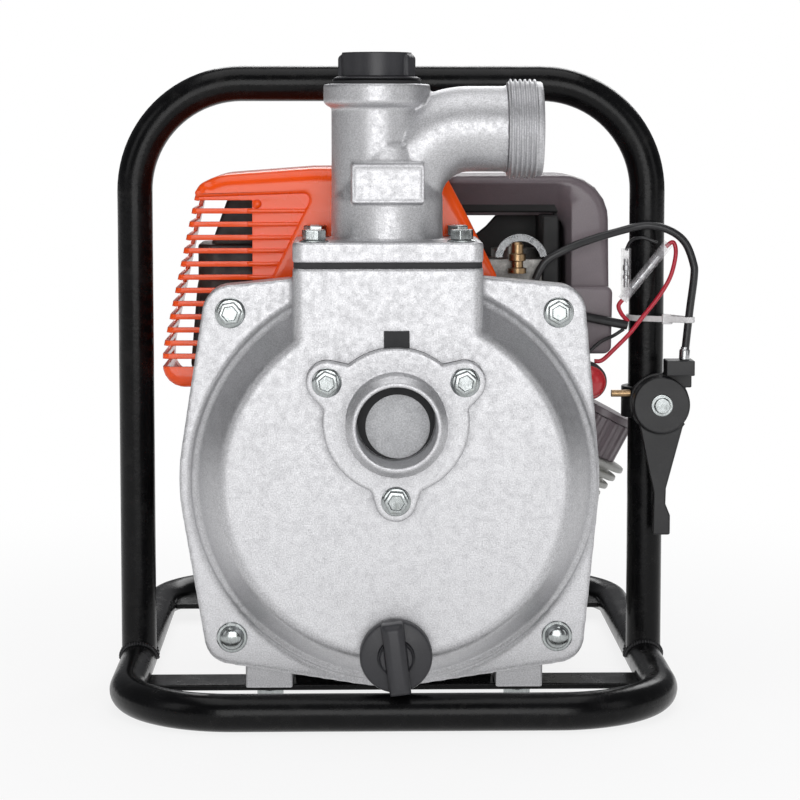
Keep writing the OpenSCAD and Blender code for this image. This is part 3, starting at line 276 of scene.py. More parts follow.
def heat_steel(name):
    """Sheet steel of the silencer: dull, with heat tints and specks of rust."""
    f = Finish(name)
    scale = f.noise(340.0, 4.0, 0.65)
    tint = f.ramp(f.noise(30.0, 3.0, 0.55), 0.35, 0.72)
    rust = f.ramp(f.noise(130.0, 6.0, 0.72), 0.60, 0.76)
    base = f.blend(tint, colour(0.045, 0.043, 0.044), colour(0.085, 0.070, 0.058))
    base = f.blend(rust * 0.7, base, colour(0.16, 0.065, 0.028))
    normal = f.bump(scale + rust, 0.35, 0.0003, f.soft_edges(0.0008))
    rough_map = f.ramp(scale, 0.3, 0.7, 0.46, 0.62) + rust * 0.2
    return f.surface(f.shader(Base_Color=base, Metallic=0.6, Roughness=rough_map, Normal=normal))


def clear_sleeve(name):
    """Clear vinyl sleeve: cloudy bands and small bubbles."""
    f = Finish(name)
    cloud = f.ramp(f.noise(260.0, 4.0, 0.6, f.stretch((1, 1, 0.5))), 0.40, 0.72)
    bubbles = f.ramp(f.cells(900.0), 0.05, 0.22)
    base = f.blend(cloud, colour(0.86, 0.85, 0.87), colour(0.66, 0.63, 0.66))
    normal = f.bump(cloud + bubbles, 0.4, 0.0003)
    rough_map = f.ramp(cloud, 0, 1, 0.12, 0.3)
    cover = cloud * 0.26 + (1 - bubbles) * 0.12 + 0.10
    return f.surface(f.shader(Base_Color=base, Roughness=rough_map, Normal=normal, Alpha=cover,
                              IOR=1.45))


def insulation(name, tone, rough=0.38):
    """Extruded cover of a wire or cable."""
    f = Finish(name)
    drawn = f.noise(1300.0, 2.0, 0.6)
    soil = f.ramp(f.noise(170.0, 4.0, 0.65), 0.48, 0.80)
    base = f.blend(f.ramp(drawn, 0.3, 0.7), colour(*tone, 0.88), colour(*tone, 1.12))
    soiled = colour(*(channel * 0.5 + 0.03 for channel in tone))
    base = f.blend(soil * 0.16, base, soiled)
    normal = f.bump(drawn, 0.3, 0.0001)
    rough_map = f.ramp(soil, 0, 1, rough, rough + 0.18)
    return f.surface(f.shader(Base_Color=base, Roughness=rough_map, Normal=normal))


FINISH = {
    "frame_paint": powder_coat("frame_paint"),
    "cast_aluminium": cast_metal("cast_aluminium", (0.58, 0.58, 0.595), 0.85, 0.47, 1500.0,
                                 0.0008, 0.00010),
    "engine_casting": cast_metal("engine_casting", (0.42, 0.43, 0.44), 0.55, 0.52, 700.0, 0.0008),
    "zinc_steel": plated("zinc_steel", (0.42, 0.445, 0.445), 0.20),
    "machined_steel": plated("machined_steel", (0.52, 0.53, 0.54), 0.26, 1100.0,
                             (0.5, 0.46, 0.4)),
    "bronze": plated("bronze", (0.58, 0.38, 0.17), 0.36, 600.0, (0.35, 0.25, 0.12)),
    "rubber_black": rubber("rubber_black", (0.018, 0.018, 0.019)),
    "gasket": rubber("gasket", (0.022, 0.022, 0.024), 0.7),
    "flap_rubber": cast_metal("flap_rubber", (0.52, 0.525, 0.54), 0.25, 0.42, 1300.0, 0.0006),
    "black_plastic": moulded("black_plastic", (0.0090, 0.0090, 0.0100), 0.42),
    "knob_plastic": moulded("knob_plastic", (0.026, 0.026, 0.030), 0.40, 1300.0, 0.00014, 0.0009),
    "orange_plastic": gloss_cover("orange_plastic"),
    "filter_plastic": moulded("filter_plastic", (0.165, 0.135, 0.148), 0.40, 1500.0, 0.00008,
                              0.0012, 0.1, 0.10, (0.45, 0.42, 0.43)),
    "cap_plastic": moulded("cap_plastic", (0.20, 0.165, 0.180), 0.40, 1200.0, 0.00008, 0.0006, 0.1),
    "tank_plastic": moulded("tank_plastic", (0.56, 0.56, 0.53), 0.40, 500.0, 0.00015, 0.0012, 0.0,
                            0.12, (0.36, 0.33, 0.28)),
    "muffler_steel": heat_steel("muffler_steel"),
    "carburettor_metal": cast_metal("carburettor_metal", (0.22, 0.215, 0.205), 0.75, 0.40, 800.0,
                                    0.0006),
    "bulb_rubber": moulded("bulb_rubber", (0.62, 0.52, 0.36), 0.30, 600.0, 0.0001, 0.0005, 0.3),
    "brass": plated("brass", (0.40, 0.27, 0.15), 0.30, 900.0, (0.34, 0.24, 0.12)),
    "red_plastic": moulded("red_plastic", (0.52, 0.022, 0.030), 0.30, 900.0, 0.00006, 0.0006, 0.4,
                           0.08, (0.75, 0.35, 0.35)),
    "red_insulation": insulation("red_insulation", (0.52, 0.014, 0.036), 0.34),
    "black_insulation": insulation("black_insulation", (0.014, 0.014, 0.0155), 0.36),
    "clear_sleeve": clear_sleeve("clear_sleeve"),
    "white_nylon": moulded("white_nylon", (0.74, 0.73, 0.73), 0.42, 800.0, 0.00006, 0.0003, 0.0,
                           0.15, (0.45, 0.43, 0.42)),
    "ceramic": moulded("ceramic", (0.74, 0.72, 0.66), 0.22, 500.0, 0.00004, 0.0004, 0.5),
    "hose_rubber": insulation("hose_rubber", (0.055, 0.050, 0.030), 0.40),
    "weld": cast_metal("weld_bead", (0.016, 0.016, 0.018), 0.35, 0.36, 600.0, 0.0003, 0.0002),
    # near-black standing for painted shade under the filter arm, used on the filter base and on the
    # sheet behind the intake
    "shade_black": moulded("shade_black", (0.0030, 0.0030, 0.0034), 0.62),
}

for name, node in frame["nodes"].items():
    node.data.materials.clear()
    node.data.materials.append(FINISH[SLOT[name]])


# ---- making pieces ----

def centre(node):
    low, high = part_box(node)
    return (low + high) / 2


def finish_piece(bm, name, body, slot, replaced=(), angle=35, weighted=True):
    """Turns a bmesh into a finished object that rides on its body."""
    mesh = bpy.data.meshes.new(name)
    bm.to_mesh(mesh)
    bm.free()
    mesh.shade_smooth()
    mesh.set_sharp_from_angle(angle=math.radians(angle))
    piece = bpy.data.objects.new(name, mesh)
    bpy.context.scene.collection.objects.link(piece)
    mesh.materials.append(FINISH[slot])
    if weighted:
        modifier = piece.modifiers.new("even_faces", "WEIGHTED_NORMAL")
        modifier.keep_sharp = True
        modifier.weight = 80
    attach(piece, body)
    if replaced:
        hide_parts(*replaced)
    return piece


def merged(node):
    """Merged copy of a CAD node, with its flat faces joined up."""
    bm = bmesh.new()
    bm.from_mesh(frame["nodes"][node].data)
    bmesh.ops.remove_doubles(bm, verts=bm.verts, dist=3e-6)
    bmesh.ops.dissolve_limit(bm, angle_limit=math.radians(0.6), verts=bm.verts, edges=bm.edges)
    return bm


def sharp_edges(bm, angle):
    """Edges where two faces meet at more than an angle in degrees."""
    limit = math.radians(angle)
    return [e for e in bm.edges if len(e.link_faces) == 2 and e.calc_face_angle() > limit]


def round_over(bm, edges, width, segments=2):
    if edges:
        bmesh.ops.bevel(bm, geom=edges, offset=width, offset_type="OFFSET", segments=segments,
                        profile=0.5, affect="EDGES", clamp_overlap=False, material=-1)


def rounded(node, name, width, segments=2, angle=30, shade=35):
    """Stands for a CAD node with its hard edges rounded over."""
    bm = merged(node)
    round_over(bm, sharp_edges(bm, angle), width, segments)
    return finish_piece(bm, name, BODY[node], SLOT[node], [node], shade)


def spun(outline, at, axis, steps=96):
    """Closed ring or disc turned from an outline of (radius, height along the axis)."""
    bm = bmesh.new()
    points = [bm.verts.new((r, 0, h)) for r, h in outline]
    edges = [bm.edges.new((points[i], points[i + 1])) for i in range(len(points) - 1)]
    bmesh.ops.spin(bm, geom=points + edges, cent=(0, 0, 0), axis=(0, 0, 1), dvec=(0, 0, 0),
                   angle=2 * math.pi, steps=steps, use_merge=True, use_duplicate=False)
    bmesh.ops.remove_doubles(bm, verts=bm.verts, dist=1e-6)
    bmesh.ops.recalc_face_normals(bm, faces=bm.faces)
    bmesh.ops.transform(bm, matrix=placing(at, axis), verts=bm.verts)
    return bm


def placing(at, axis):
    """Matrix that lays a piece modelled along +Z along an axis, named or a vector, at a point."""
    turn = {"Z": Matrix(), "-Z": Matrix.Rotation(math.pi, 4, "X"),
            "-Y": Matrix.Rotation(math.pi / 2, 4, "X"), "X": Matrix.Rotation(math.pi / 2, 4, "Y")}
    if isinstance(axis, str):
        matrix = turn[axis]
    else:
        matrix = Vector(axis).to_track_quat("Z", "Y").to_matrix().to_4x4()
    return Matrix.Translation(at) @ matrix


def join(pieces):
    """One bmesh from several."""
    whole = bmesh.new()
    for bm in pieces:
        mesh = bpy.data.meshes.new("part")
        bm.to_mesh(mesh)
        bm.free()
        whole.from_mesh(mesh)
        bpy.data.meshes.remove(mesh)
    return whole


def block(low, high, width, segments):
    """Box between two corners with its edges rounded over."""
    bm = bmesh.new()
    low, high = Vector(low), Vector(high)
    bmesh.ops.create_cube(bm, size=1, matrix=Matrix.Translation((low + high) / 2)
                          @ Matrix.Diagonal((*(high - low), 1)))
    round_over(bm, bm.edges[:], width, segments)
    return bm


def hex_bolt(at, axis, across, tall, washer, shank, bore=0.003, turn=0.0, flange=0.0012):
    """Flanged bolt head with chamfered corners, a dish in its top, and its shank."""
    bm = bmesh.new()
    corner = across / math.sqrt(3)
    middle = Matrix.Translation((0, 0, flange + tall / 2))
    bmesh.ops.create_cone(bm, cap_ends=True, segments=6, radius1=corner, radius2=corner,
                          depth=tall, matrix=middle @ Matrix.Rotation(turn, 4, "Z"))
    top = [e for e in bm.edges if all(v.co.z > flange + tall * 0.9 for v in e.verts)]
    round_over(bm, top, across * 0.07, 2)
    walls = [e for e in bm.edges if abs(e.verts[0].co.z - e.verts[1].co.z) > tall * 0.5]
    round_over(bm, walls, across * 0.035, 2)
    cap = max(bm.faces, key=lambda face: (face.calc_center_median().z, face.calc_area()))
    bmesh.ops.inset_region(bm, faces=[cap], thickness=across * 0.09, depth=0)
    bmesh.ops.inset_region(bm, faces=[cap], thickness=across * 0.05, depth=-tall * 0.12)
    skirt = spun([(0.0002, flange), (washer * 0.80, flange), (washer * 0.96, flange * 0.45),
                  (washer, flange * 0.2), (washer, 0), (bore, 0), (bore, -shank),
                  (0.0002, -shank - 0.0004)], (0, 0, 0), "Z", 40)
    whole = join([bm, skirt])
    bmesh.ops.transform(whole, matrix=placing(at, axis), verts=whole.verts)
    return whole


def tube(points, radius, sides):
    """Round bar that follows a line of points."""
    bm = bmesh.new()
    line = [Vector(p) for p in points]
    ring = bmesh.ops.create_circle(bm, cap_ends=False, segments=sides, radius=radius)["verts"]
    heading = (line[1] - line[0]).normalized()
    tilt = Vector((0, 0, 1)).rotation_difference(heading)
    bmesh.ops.rotate(bm, verts=ring, cent=(0, 0, 0), matrix=tilt.to_matrix())
    bmesh.ops.translate(bm, verts=ring, vec=line[0])
    edges = list({e for v in ring for e in v.link_edges})
    bmesh.ops.edgeloop_fill(bm, edges=edges)
    for i in range(1, len(line)):
        there = line[min(i + 1, len(line) - 1)] - line[i - 1]
        turn = heading.rotation_difference(there.normalized())
        heading = there.normalized()
        made = bmesh.ops.extrude_edge_only(bm, edges=edges)["geom"]
        verts = [g for g in made if isinstance(g, bmesh.types.BMVert)]
        edges = [g for g in made if isinstance(g, bmesh.types.BMEdge)]
        bmesh.ops.translate(bm, verts=verts, vec=line[i] - line[i - 1])
        bmesh.ops.rotate(bm, verts=verts, cent=line[i], matrix=turn.to_matrix())
    bmesh.ops.edgeloop_fill(bm, edges=edges)
    bmesh.ops.recalc_face_normals(bm, faces=bm.faces)
    return bm


def settled(bm, *changes):
    """The shape with modifiers (kind, settings) worked into it."""
    mesh = bpy.data.meshes.new("blank")
    bm.to_mesh(mesh)
    bm.free()
    holder = bpy.data.objects.new("blank", mesh)
    bpy.context.scene.collection.objects.link(holder)
    for kind, settings in changes:
        modifier = holder.modifiers.new(kind.lower(), kind)
        for key, setting in settings.items():
            setattr(modifier, key, setting)
    graph = bpy.context.evaluated_depsgraph_get()
    done = bpy.data.meshes.new_from_object(holder.evaluated_get(graph))
    bm = bmesh.new()
    bm.from_mesh(done)
    bpy.data.objects.remove(holder)
    bpy.data.meshes.remove(mesh)
    bpy.data.meshes.remove(done)
    return bm


def cast_skin(bm, grain, passes):
    """Sand-cast skin: every corner and crease of a closed shape melts into a fillet."""
    return settled(bm, ("REMESH", {"mode": "VOXEL", "voxel_size": grain, "adaptivity": 0.0}),
                   ("SMOOTH", {"factor": 0.5, "iterations": passes}))


def corner_arcs(corners, steps=6):
    """Closed outline in mm from corners (x, z, corner radius, edge radius), arcs filled in."""
    made = []
    for i, (x, z, radius, edge) in enumerate(corners):
        p = Vector((x, z))
        a = Vector(corners[i - 1][:2]) - p
        b = Vector(corners[(i + 1) % len(corners)][:2]) - p
        half = a.angle(b) / 2
        reach = min(radius / math.tan(half), a.length * 0.75, b.length * 0.75)
        a.normalize()
        b.normalize()
        hub = p + (a + b).normalized() * (reach / math.cos(half))
        first, last = p + a * reach - hub, p + b * reach - hub
        made += [(hub + first.lerp(last, s / steps).normalized() * first.length, edge)
                 for s in range(steps + 1)]
    return made


def pressed(corners, front, back, closed=True, steps=6):
    """Moulded hood from an outline in mm: straight walls, a rounded front edge, a flat front."""
    outline = corner_arcs(corners)
    count = len(outline)
    area = sum(outline[i - 1][0].cross(outline[i][0]) for i in range(count))
    turned = 1 if area > 0 else -1

    def spot(i, k):
        p, edge = outline[i]
        swing = max(k, 0) * math.pi / 2 / steps
        along = (outline[(i + 1) % count][0] - outline[i - 1][0]).normalized()
        at = p + Vector((-along.y, along.x)) * (turned * edge * (1 - math.cos(swing)))
        y = back if k < 0 else front + edge * (1 - math.sin(swing))
        return Vector((at.x, y, at.y)) * MM

    bm = bmesh.new()
    ring = {bm.verts.new(spot(i, -1)): i for i in range(count)}
    verts = list(ring)
    first = edges = [bm.edges.new((verts[i - 1], verts[i])) for i in range(count)]
    for k in range(steps + 1):
        made = bmesh.ops.extrude_edge_only(bm, edges=edges)["geom"]
        edges = [g for g in made if isinstance(g, bmesh.types.BMEdge)]
        fresh = {}
        for vert in (g for g in made if isinstance(g, bmesh.types.BMVert)):
            near = (e.other_vert(vert) for e in vert.link_edges)
            fresh[vert] = next(ring[other] for other in near if other in ring)
        for vert, i in fresh.items():
            vert.co = spot(i, k)
        ring = fresh
    bmesh.ops.edgeloop_fill(bm, edges=edges)
    if closed:
        bmesh.ops.edgeloop_fill(bm, edges=first)
    bmesh.ops.remove_doubles(bm, verts=bm.verts, dist=1e-5)
    bmesh.ops.recalc_face_normals(bm, faces=bm.faces)
    return bm


def cut(bm, point, normal):
    """Adds edges where a plane crosses the shape."""
    bmesh.ops.bisect_plane(bm, geom=bm.verts[:] + bm.edges[:] + bm.faces[:], dist=1e-6,
                           plane_co=point, plane_no=normal)


def trim(bm, unwanted):
    """Takes away the faces whose middle, in mm, passes a test."""
    gone = [face for face in bm.faces if unwanted(face.calc_center_median() / MM)]
    bmesh.ops.delete(bm, geom=gone, context="FACES")


def walled(bm, wall, edge):
    """Gives a sheet its thickness, inwards, and rounds the rims."""
    bmesh.ops.remove_doubles(bm, verts=bm.verts, dist=2e-5)
    bmesh.ops.recalc_face_normals(bm, faces=bm.faces)
    return settled(bm, ("SOLIDIFY", {"thickness": wall, "offset": -1}),
                   ("BEVEL", {"width": edge, "segments": 2, "limit_method": "ANGLE",
                              "angle_limit": math.radians(40), "use_clamp_overlap": True}))


# ---- cords ----

def smooth_route(route, steps=8):
    """Smooth curve through a list of points in metres."""
    made = []
    for i in range(len(route) - 1):
        a, b = Vector(route[max(i - 1, 0)]), Vector(route[i])
        c, d = Vector(route[i + 1]), Vector(route[min(i + 2, len(route) - 1)])
        for s in range(steps):
            t = s / steps
            made.append(0.5 * (2 * b + (c - a) * t + (2 * a - 5 * b + 4 * c - d) * t * t
                               + (3 * b - a - 3 * c + d) * t * t * t))
    made.append(Vector(route[-1]))
    return made


def length_of(line):
    return sum((b - a).length for a, b in zip(line, line[1:]))


def cord_piece(name, route, radius, slot, replaced):
    """Cord along a smooth route, which stands for its CAD solid."""
    line = smooth_route(route)
    piece = finish_piece(tube(line, radius, 18), name, "frame", slot, replaced, 60, False)
    length_of(line)


def tail(name, route, radius, slot):
    """Short end of a wire, beside the cord that it belongs to."""
    finish_piece(tube(smooth_route(route), radius, 14), name, "frame", slot, (), 60, False)


CABLE_ROUTE = [
    (0.072, -0.048, 0.208), (0.077, -0.048, 0.217), (0.087, -0.0475, 0.223),
    (0.100, -0.045, 0.228), (0.122, -0.041, 0.234), (0.132, -0.041, 0.235),
    (0.142, -0.041, 0.232), (0.149, -0.041, 0.226), (0.153, -0.041, 0.216),
    (0.1535, -0.041, 0.209), (0.1515, -0.040, 0.191), (0.149, -0.040, 0.1665)]
RED_ROUTE = [
    (0.103, -0.041, 0.166), (0.107, -0.041, 0.1665), (0.113, -0.041, 0.172),
    (0.121, -0.040, 0.180), (0.127, -0.039, 0.1875), (0.1355, -0.038, 0.198),
    (0.141, -0.038, 0.207), (0.1435, -0.038, 0.2145), (0.1445, -0.038, 0.222),
    (0.143, -0.0377, 0.2265), (0.1395, -0.0375, 0.2242)]
RED_TAIL_ROUTE = [
    (0.1175, -0.0375, 0.197), (0.1155, -0.0375, 0.194), (0.117, -0.0375, 0.190),
    (0.1205, -0.036, 0.186)]
BLACK_ROUTE = [
    (0.095, -0.041, 0.1656), (0.098, -0.041, 0.1685), (0.106, -0.039, 0.1755),
    (0.113, -0.0365, 0.1785), (0.1185, -0.036, 0.182)]
BLACK_LOOP_ROUTE = [
    (0.120, -0.0305, 0.222), (0.1225, -0.032, 0.227), (0.128, -0.034, 0.2285),
    (0.1355, -0.035, 0.226)]
SLEEVE_ROUTE = [
    (0.048, -0.050, 0.148), (0.060, -0.054, 0.162), (0.072, -0.054, 0.178),
    (0.082, -0.050, 0.188), (0.092, -0.045, 0.1905), (0.101, -0.039, 0.188),
    (0.120, -0.036, 0.184)]
HOSE_ROUTE = [
    (0.072, -0.008, 0.096), (0.071, -0.009, 0.112), (0.064, -0.012, 0.134),
    (0.054, -0.018, 0.158), (0.051, -0.024, 0.1819)]

cord_piece("throttle_cable_outer", CABLE_ROUTE, 0.002, "black_insulation", ["throttle_cable"])
cord_piece("stop_wire_red", RED_ROUTE, 0.0011, "red_insulation", ["red_wire"])
cord_piece("wire_sleeve_black", SLEEVE_ROUTE, 0.0024, "black_insulation", ["black_wires"])
cord_piece("fuel_line", HOSE_ROUTE, 0.0022, "hose_rubber", ["fuel_hose"])
tail("wire_tail_red", RED_TAIL_ROUTE, 0.0011, "red_insulation")
tail("stop_wire_black", BLACK_ROUTE, 0.0009, "black_insulation")
tail("wire_tail_black", BLACK_LOOP_ROUTE, 0.0009, "black_insulation")

# ---- frame ----

rounded("front_cross_plate", "front_plate", 0.0007, 2)
rounded("rear_cross_plate", "rear_plate", 0.0007, 2)


def weld_bead(line, name, width=0.0015):
    """Row of overlapping weld ripples along a line of points."""
    whole = bmesh.new()
    ripple = Matrix.Diagonal((0.62, 1.0, 1.0, 1))
    for a, b in zip(line, line[1:]):
        a, b = Vector(a), Vector(b)
        along = (b - a).normalized().to_track_quat("X", "Z").to_matrix().to_4x4()
        bmesh.ops.create_icosphere(whole, subdivisions=2, radius=width,
                                   matrix=Matrix.Translation(a) @ along @ ripple)
    finish_piece(whole, name, "frame", "weld", (), 60, False)


def saddle(x, y, z, radius, count=44):
    """Line where an upright meets a lying tube of the same radius."""
    line = []
    for i in range(count + 1):
        a = 2 * math.pi * i / count
        dx, dy = radius * math.cos(a), radius * math.sin(a)
        rise = math.sqrt(max(radius ** 2 - dx ** 2, 0)) + 0.0006
        line.append((x + dx * 1.02, y + dy * 1.02, z + rise))
    return line


loop_low, loop_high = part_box("base_loop")
TUBE_R = (loop_high.z - loop_low.z) / 2
SIDE_X = loop_high.x - TUBE_R
HOOP_Y = centre("handle_hoop").y
for side, word in ((-1, "left"), (1, "right")):
    weld_bead(saddle(side * SIDE_X, HOOP_Y, TUBE_R, TUBE_R), "weld_" + word)
    for node, place in (("front_cross_plate", "front"), ("rear_cross_plate", "rear")):
        low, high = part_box(node)
        x = side * (SIDE_X - TUBE_R + 0.0008)
        ripples = 16
        seam = [(x, low.y + (high.y - low.y) * i / ripples, TUBE_R + 0.001)
                for i in range(ripples + 1)]
        weld_bead(seam, "weld_plate_" + place + "_" + word, 0.0014)

# ---- fasteners ----

FLANGE_THICK = 0.009
FLANGE_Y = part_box("casing_gasket")[0].y - FLANGE_THICK
low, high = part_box("casing_bolts")
HEAD_R = 0.0075
upper, lower = [], []
for x in (low.x + HEAD_R, high.x - HEAD_R):
    for z in (low.z + HEAD_R, high.z - HEAD_R):
        at = (x, FLANGE_Y, z)
        if z > centre("casing_bolts").z:
            upper.append(hex_bolt(at, "-Y", 0.010, 0.0042, 0.0074, 0.016, turn=0.35 + x * 9))
            continue
        washer = spun([(0.003, 0.0), (HEAD_R, 0.0), (HEAD_R, 0.0006), (0.0070, 0.0011),
                       (0.003, 0.0012)], at, "-Y", 48)
        dome = spun([(0.0001, 0.0047), (0.0022, 0.0046), (0.0040, 0.0042), (0.0052, 0.0034),
                     (0.0058, 0.0022), (0.0060, 0.0012), (0.003, 0.0010), (0.003, -0.016),
                     (0.0001, -0.016)], at, "-Y", 48)
        lower.append(join([washer, dome]))
finish_piece(join(upper), "upper_casing_bolts", "frame", "zinc_steel", ["casing_bolts"], 32)
finish_piece(join(lower), "lower_casing_bolts", "frame", "zinc_steel", (), 32)

low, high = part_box("outlet_bolts")
RISER_Z = high.z - 0.006
heads = [hex_bolt((x, y, RISER_Z), "Z", 0.010, 0.0046, 0.0070, 0.020, turn=0.2 + x * 7 + y * 5)
         for x in (low.x + 0.007, high.x - 0.007) for y in (low.y + 0.007, high.y - 0.007)]
finish_piece(join(heads), "elbow_bolts", "frame", "zinc_steel", ["outlet_bolts"], 32)

BOLT_CIRCLE_R, LUG_R = 0.0374, 0.0098
INLET = centre("inlet_flap")
INLET.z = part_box("inlet_flange")[0].z + LUG_R + BOLT_CIRCLE_R
INLET_FACE_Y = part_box("inlet_bolts")[0].y + 0.0055
heads = []
for angle in (30, 150, 270):
    across = BOLT_CIRCLE_R * math.cos(math.radians(angle))
    up = BOLT_CIRCLE_R * math.sin(math.radians(angle))
    heads.append(hex_bolt((across, INLET_FACE_Y, INLET.z + up), "-Y", 0.010, 0.0042, 0.0070, 0.018,
                          turn=angle * 0.02 + 0.3))
finish_piece(join(heads), "inlet_flange_bolts", "frame", "zinc_steel", ["inlet_bolts"], 32)

low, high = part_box("foot_bolts")
FOOT_BOLT_Y = centre("foot_bolts").y
heads = []
for x in (low.x + 0.008, high.x - 0.008):
    heads.append(hex_bolt((x, FOOT_BOLT_Y, high.z - 0.0065), "Z", 0.013, 0.005, 0.008, 0.016,
                          0.004))
    heads.append(hex_bolt((x, FOOT_BOLT_Y, 0.0066), "-Z", 0.013, 0.0052, 0.0078, 0.002, 0.004,
                          flange=0.0008))
finish_piece(join(heads), "foot_bolt_set", "frame", "zinc_steel", ["foot_bolts"], 32)
rounded("rear_isolators", "rear_rubber_mounts", 0.0008)

# ---- pump ----

finish_piece(cast_skin(merged("pump_front_casing"), 0.00115, 5), "front_casing", "frame",
             SLOT["pump_front_casing"], ["pump_front_casing"], 70, False)
rounded("pump_rear_casing", "rear_casing", 0.0010, 2, 32)

THREAD_X, OUTLET_Z = 0.0542, 0.284
OUTLET_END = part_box("outlet_elbow")[1].x
NECK = centre("outlet_gasket")


def elbow_casting():
    """Elbow body without its thread, with the raised rim of its blank label."""
    bm = merged("outlet_elbow")
    made = bmesh.ops.bisect_plane(bm, geom=bm.verts[:] + bm.edges[:] + bm.faces[:], dist=1e-6,
                                  plane_co=(THREAD_X + 0.0001, 0, 0), plane_no=(1, 0, 0),
                                  clear_outer=True)
    loops = [g for g in made["geom_cut"] if isinstance(g, bmesh.types.BMEdge)]
    bmesh.ops.bridge_loops(bm, edges=loops)
    low, high = Vector((-0.0207, -0.1266, 0.2491)), Vector((0.0137, -0.1240, 0.2675))
    rim = 0.0011
    bars = [((low.x, low.y, low.z), (high.x, high.y, low.z + rim)),
            ((low.x, low.y, high.z - rim), (high.x, high.y, high.z)),
            ((low.x, low.y, low.z), (low.x + rim, high.y, high.z)),
            ((high.x - rim, low.y, low.z), (high.x, high.y, high.z))]
    bm = join([bm] + [block(a, b, 0.0002, 1) for a, b in bars])
    return cast_skin(bm, 0.0008, 4)


finish_piece(elbow_casting(), "elbow_casting", "frame", SLOT["outlet_elbow"], ["outlet_elbow"],
             70, False)


def thread_ring(at, axis, bore, crest, depth, length, pitch):
    """Threaded sleeve: rounded crests and roots on a plain bore."""
    outline = [(bore, 0.0), (crest - depth, 0.0)]
    turns = int((length - 0.0016) / pitch)
    profile = ((0.0, 0.0), (0.14, 0.12), (0.32, 0.88), (0.42, 1.0), (0.56, 1.0), (0.66, 0.88),
               (0.84, 0.12))
    for i in range(turns):
        low = 0.0004 + i * pitch
        outline += [(crest - depth + depth * rise, low + part * pitch) for part, rise in profile]
    outline += [(crest - depth, length - 0.0006), (crest - depth - 0.0006, length),
                (bore + 0.0008, length), (bore, length - 0.0008), (bore, 0.0)]
    return spun(outline, at, axis, 112)


finish_piece(thread_ring((THREAD_X, NECK.y, OUTLET_Z), "X", 0.0187, 0.0239, 0.0013,
                         OUTLET_END - THREAD_X, 0.00231),
             "outlet_thread", "frame", SLOT["outlet_elbow"], (), 50, False)
finish_piece(cast_skin(merged("inlet_flange"), 0.0006, 3), "inlet_casting", "frame",
             SLOT["inlet_flange"], ["inlet_flange"], 70, False)


def knob(name, node, at, axis, radius, disc, bar, twist, tip, hub_r, hub_top):
    """Moulded plug for a CAD node: a rounded disc with a low hub and a faceted grip bar."""
    outline = [(0.00005, disc), (radius - 0.0018, disc), (radius - 0.0005, disc - 0.0005),
               (radius, disc - 0.0018), (radius, 0.0010), (radius - 0.0009, 0.0), (hub_r, 0.0),
               (hub_r, hub_top), (hub_r - 0.001, hub_top - 0.001), (0.00005, hub_top - 0.001)]
    long, wide, tall = bar
    grip = bmesh.new()
    bmesh.ops.create_cube(grip, size=1, matrix=Matrix.Translation((0, 0, disc + tall / 2 - 0.001))
                          @ Matrix.Diagonal((long, wide, tall + 0.002, 1)))
    top = [e for e in grip.edges if all(v.co.z > disc + tall * 0.9 for v in e.verts)]
    round_over(grip, top, tip, 1)
    round_over(grip, sharp_edges(grip, 20), 0.0009, 3)
    bmesh.ops.rotate(grip, verts=grip.verts, cent=(0, 0, 0),
                     matrix=Matrix.Rotation(math.radians(twist), 3, "Z"))
    whole = join([spun(outline, (0, 0, 0), "Z"), grip])
    bmesh.ops.transform(whole, matrix=placing(at, axis), verts=whole.verts)
    finish_piece(whole, name, BODY[node], SLOT[node], [node], 35, False)


knob("drain_knob", "drain_plug", (0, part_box("drain_plug")[0].y + 0.017, centre("drain_plug").z),
     "-Y", 0.0172, 0.008, (0.0102, 0.0340, 0.009), 7, 0.0024, 0.0085, 0.012)
knob("priming_cap", "priming_plug", (-0.0084, NECK.y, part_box("priming_plug")[1].z - 0.0135), "Z",
     0.0212, 0.002, (0.036, 0.0112, 0.0115), -20, 0.0020, 0.0167, 0.0135)
rounded("inlet_flap", "inlet_flap_valve", 0.0005, 2, 40)


def flap_shadow_ring():
    """Dark rubber ring in the bore that frames the flap; its hole sits off centre, so the ring is
    widest at the top: painted shadow of the bore's rim on the flap.
    """
    shadow_ring = bmesh.new()
    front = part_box("inlet_flap")[0].y - 0.0016
    for radius, dx, dz in ((0.0183, 0, 0), (0.0152, 0.0009, -0.0028)):
        bmesh.ops.create_circle(shadow_ring, cap_ends=False, segments=72, radius=radius,
                                matrix=placing((INLET.x + dx, front, INLET.z + dz), "-Y"))
    bmesh.ops.bridge_loops(shadow_ring, edges=shadow_ring.edges[:])
    bmesh.ops.recalc_face_normals(shadow_ring, faces=shadow_ring.faces)
    return settled(shadow_ring, ("SOLIDIFY", {"thickness": 0.0012, "offset": 0.0}),
                   ("BEVEL", {"width": 0.00035, "segments": 2, "limit_method": "ANGLE"}))


# dark ring whose wide top is a painted shadow inside the inlet bore
finish_piece(flap_shadow_ring(), "inlet_flap_shadow_ring", "frame", "gasket", (), 40, False)

# ---- engine ----

rounded("crankcase_front", "front_crankcase", 0.0009)
rounded("crankcase_rear", "rear_crankcase", 0.0009)
rounded("engine_cylinder", "finned_cylinder", 0.0005, 2, 40)
rounded("fan_housing", "fan_shroud", 0.0010)
rounded("starter_housing", "starter_cover", 0.0010)
rounded("starter_handle", "starter_grip", 0.0012, 3, 40)
rounded("muffler", "silencer", 0.0010, 2, 40)
rounded("ignition_coil", "coil_and_lead", 0.0005, 2, 60, 60)
rounded("throttle_arm", "carburettor_arm", 0.0003)

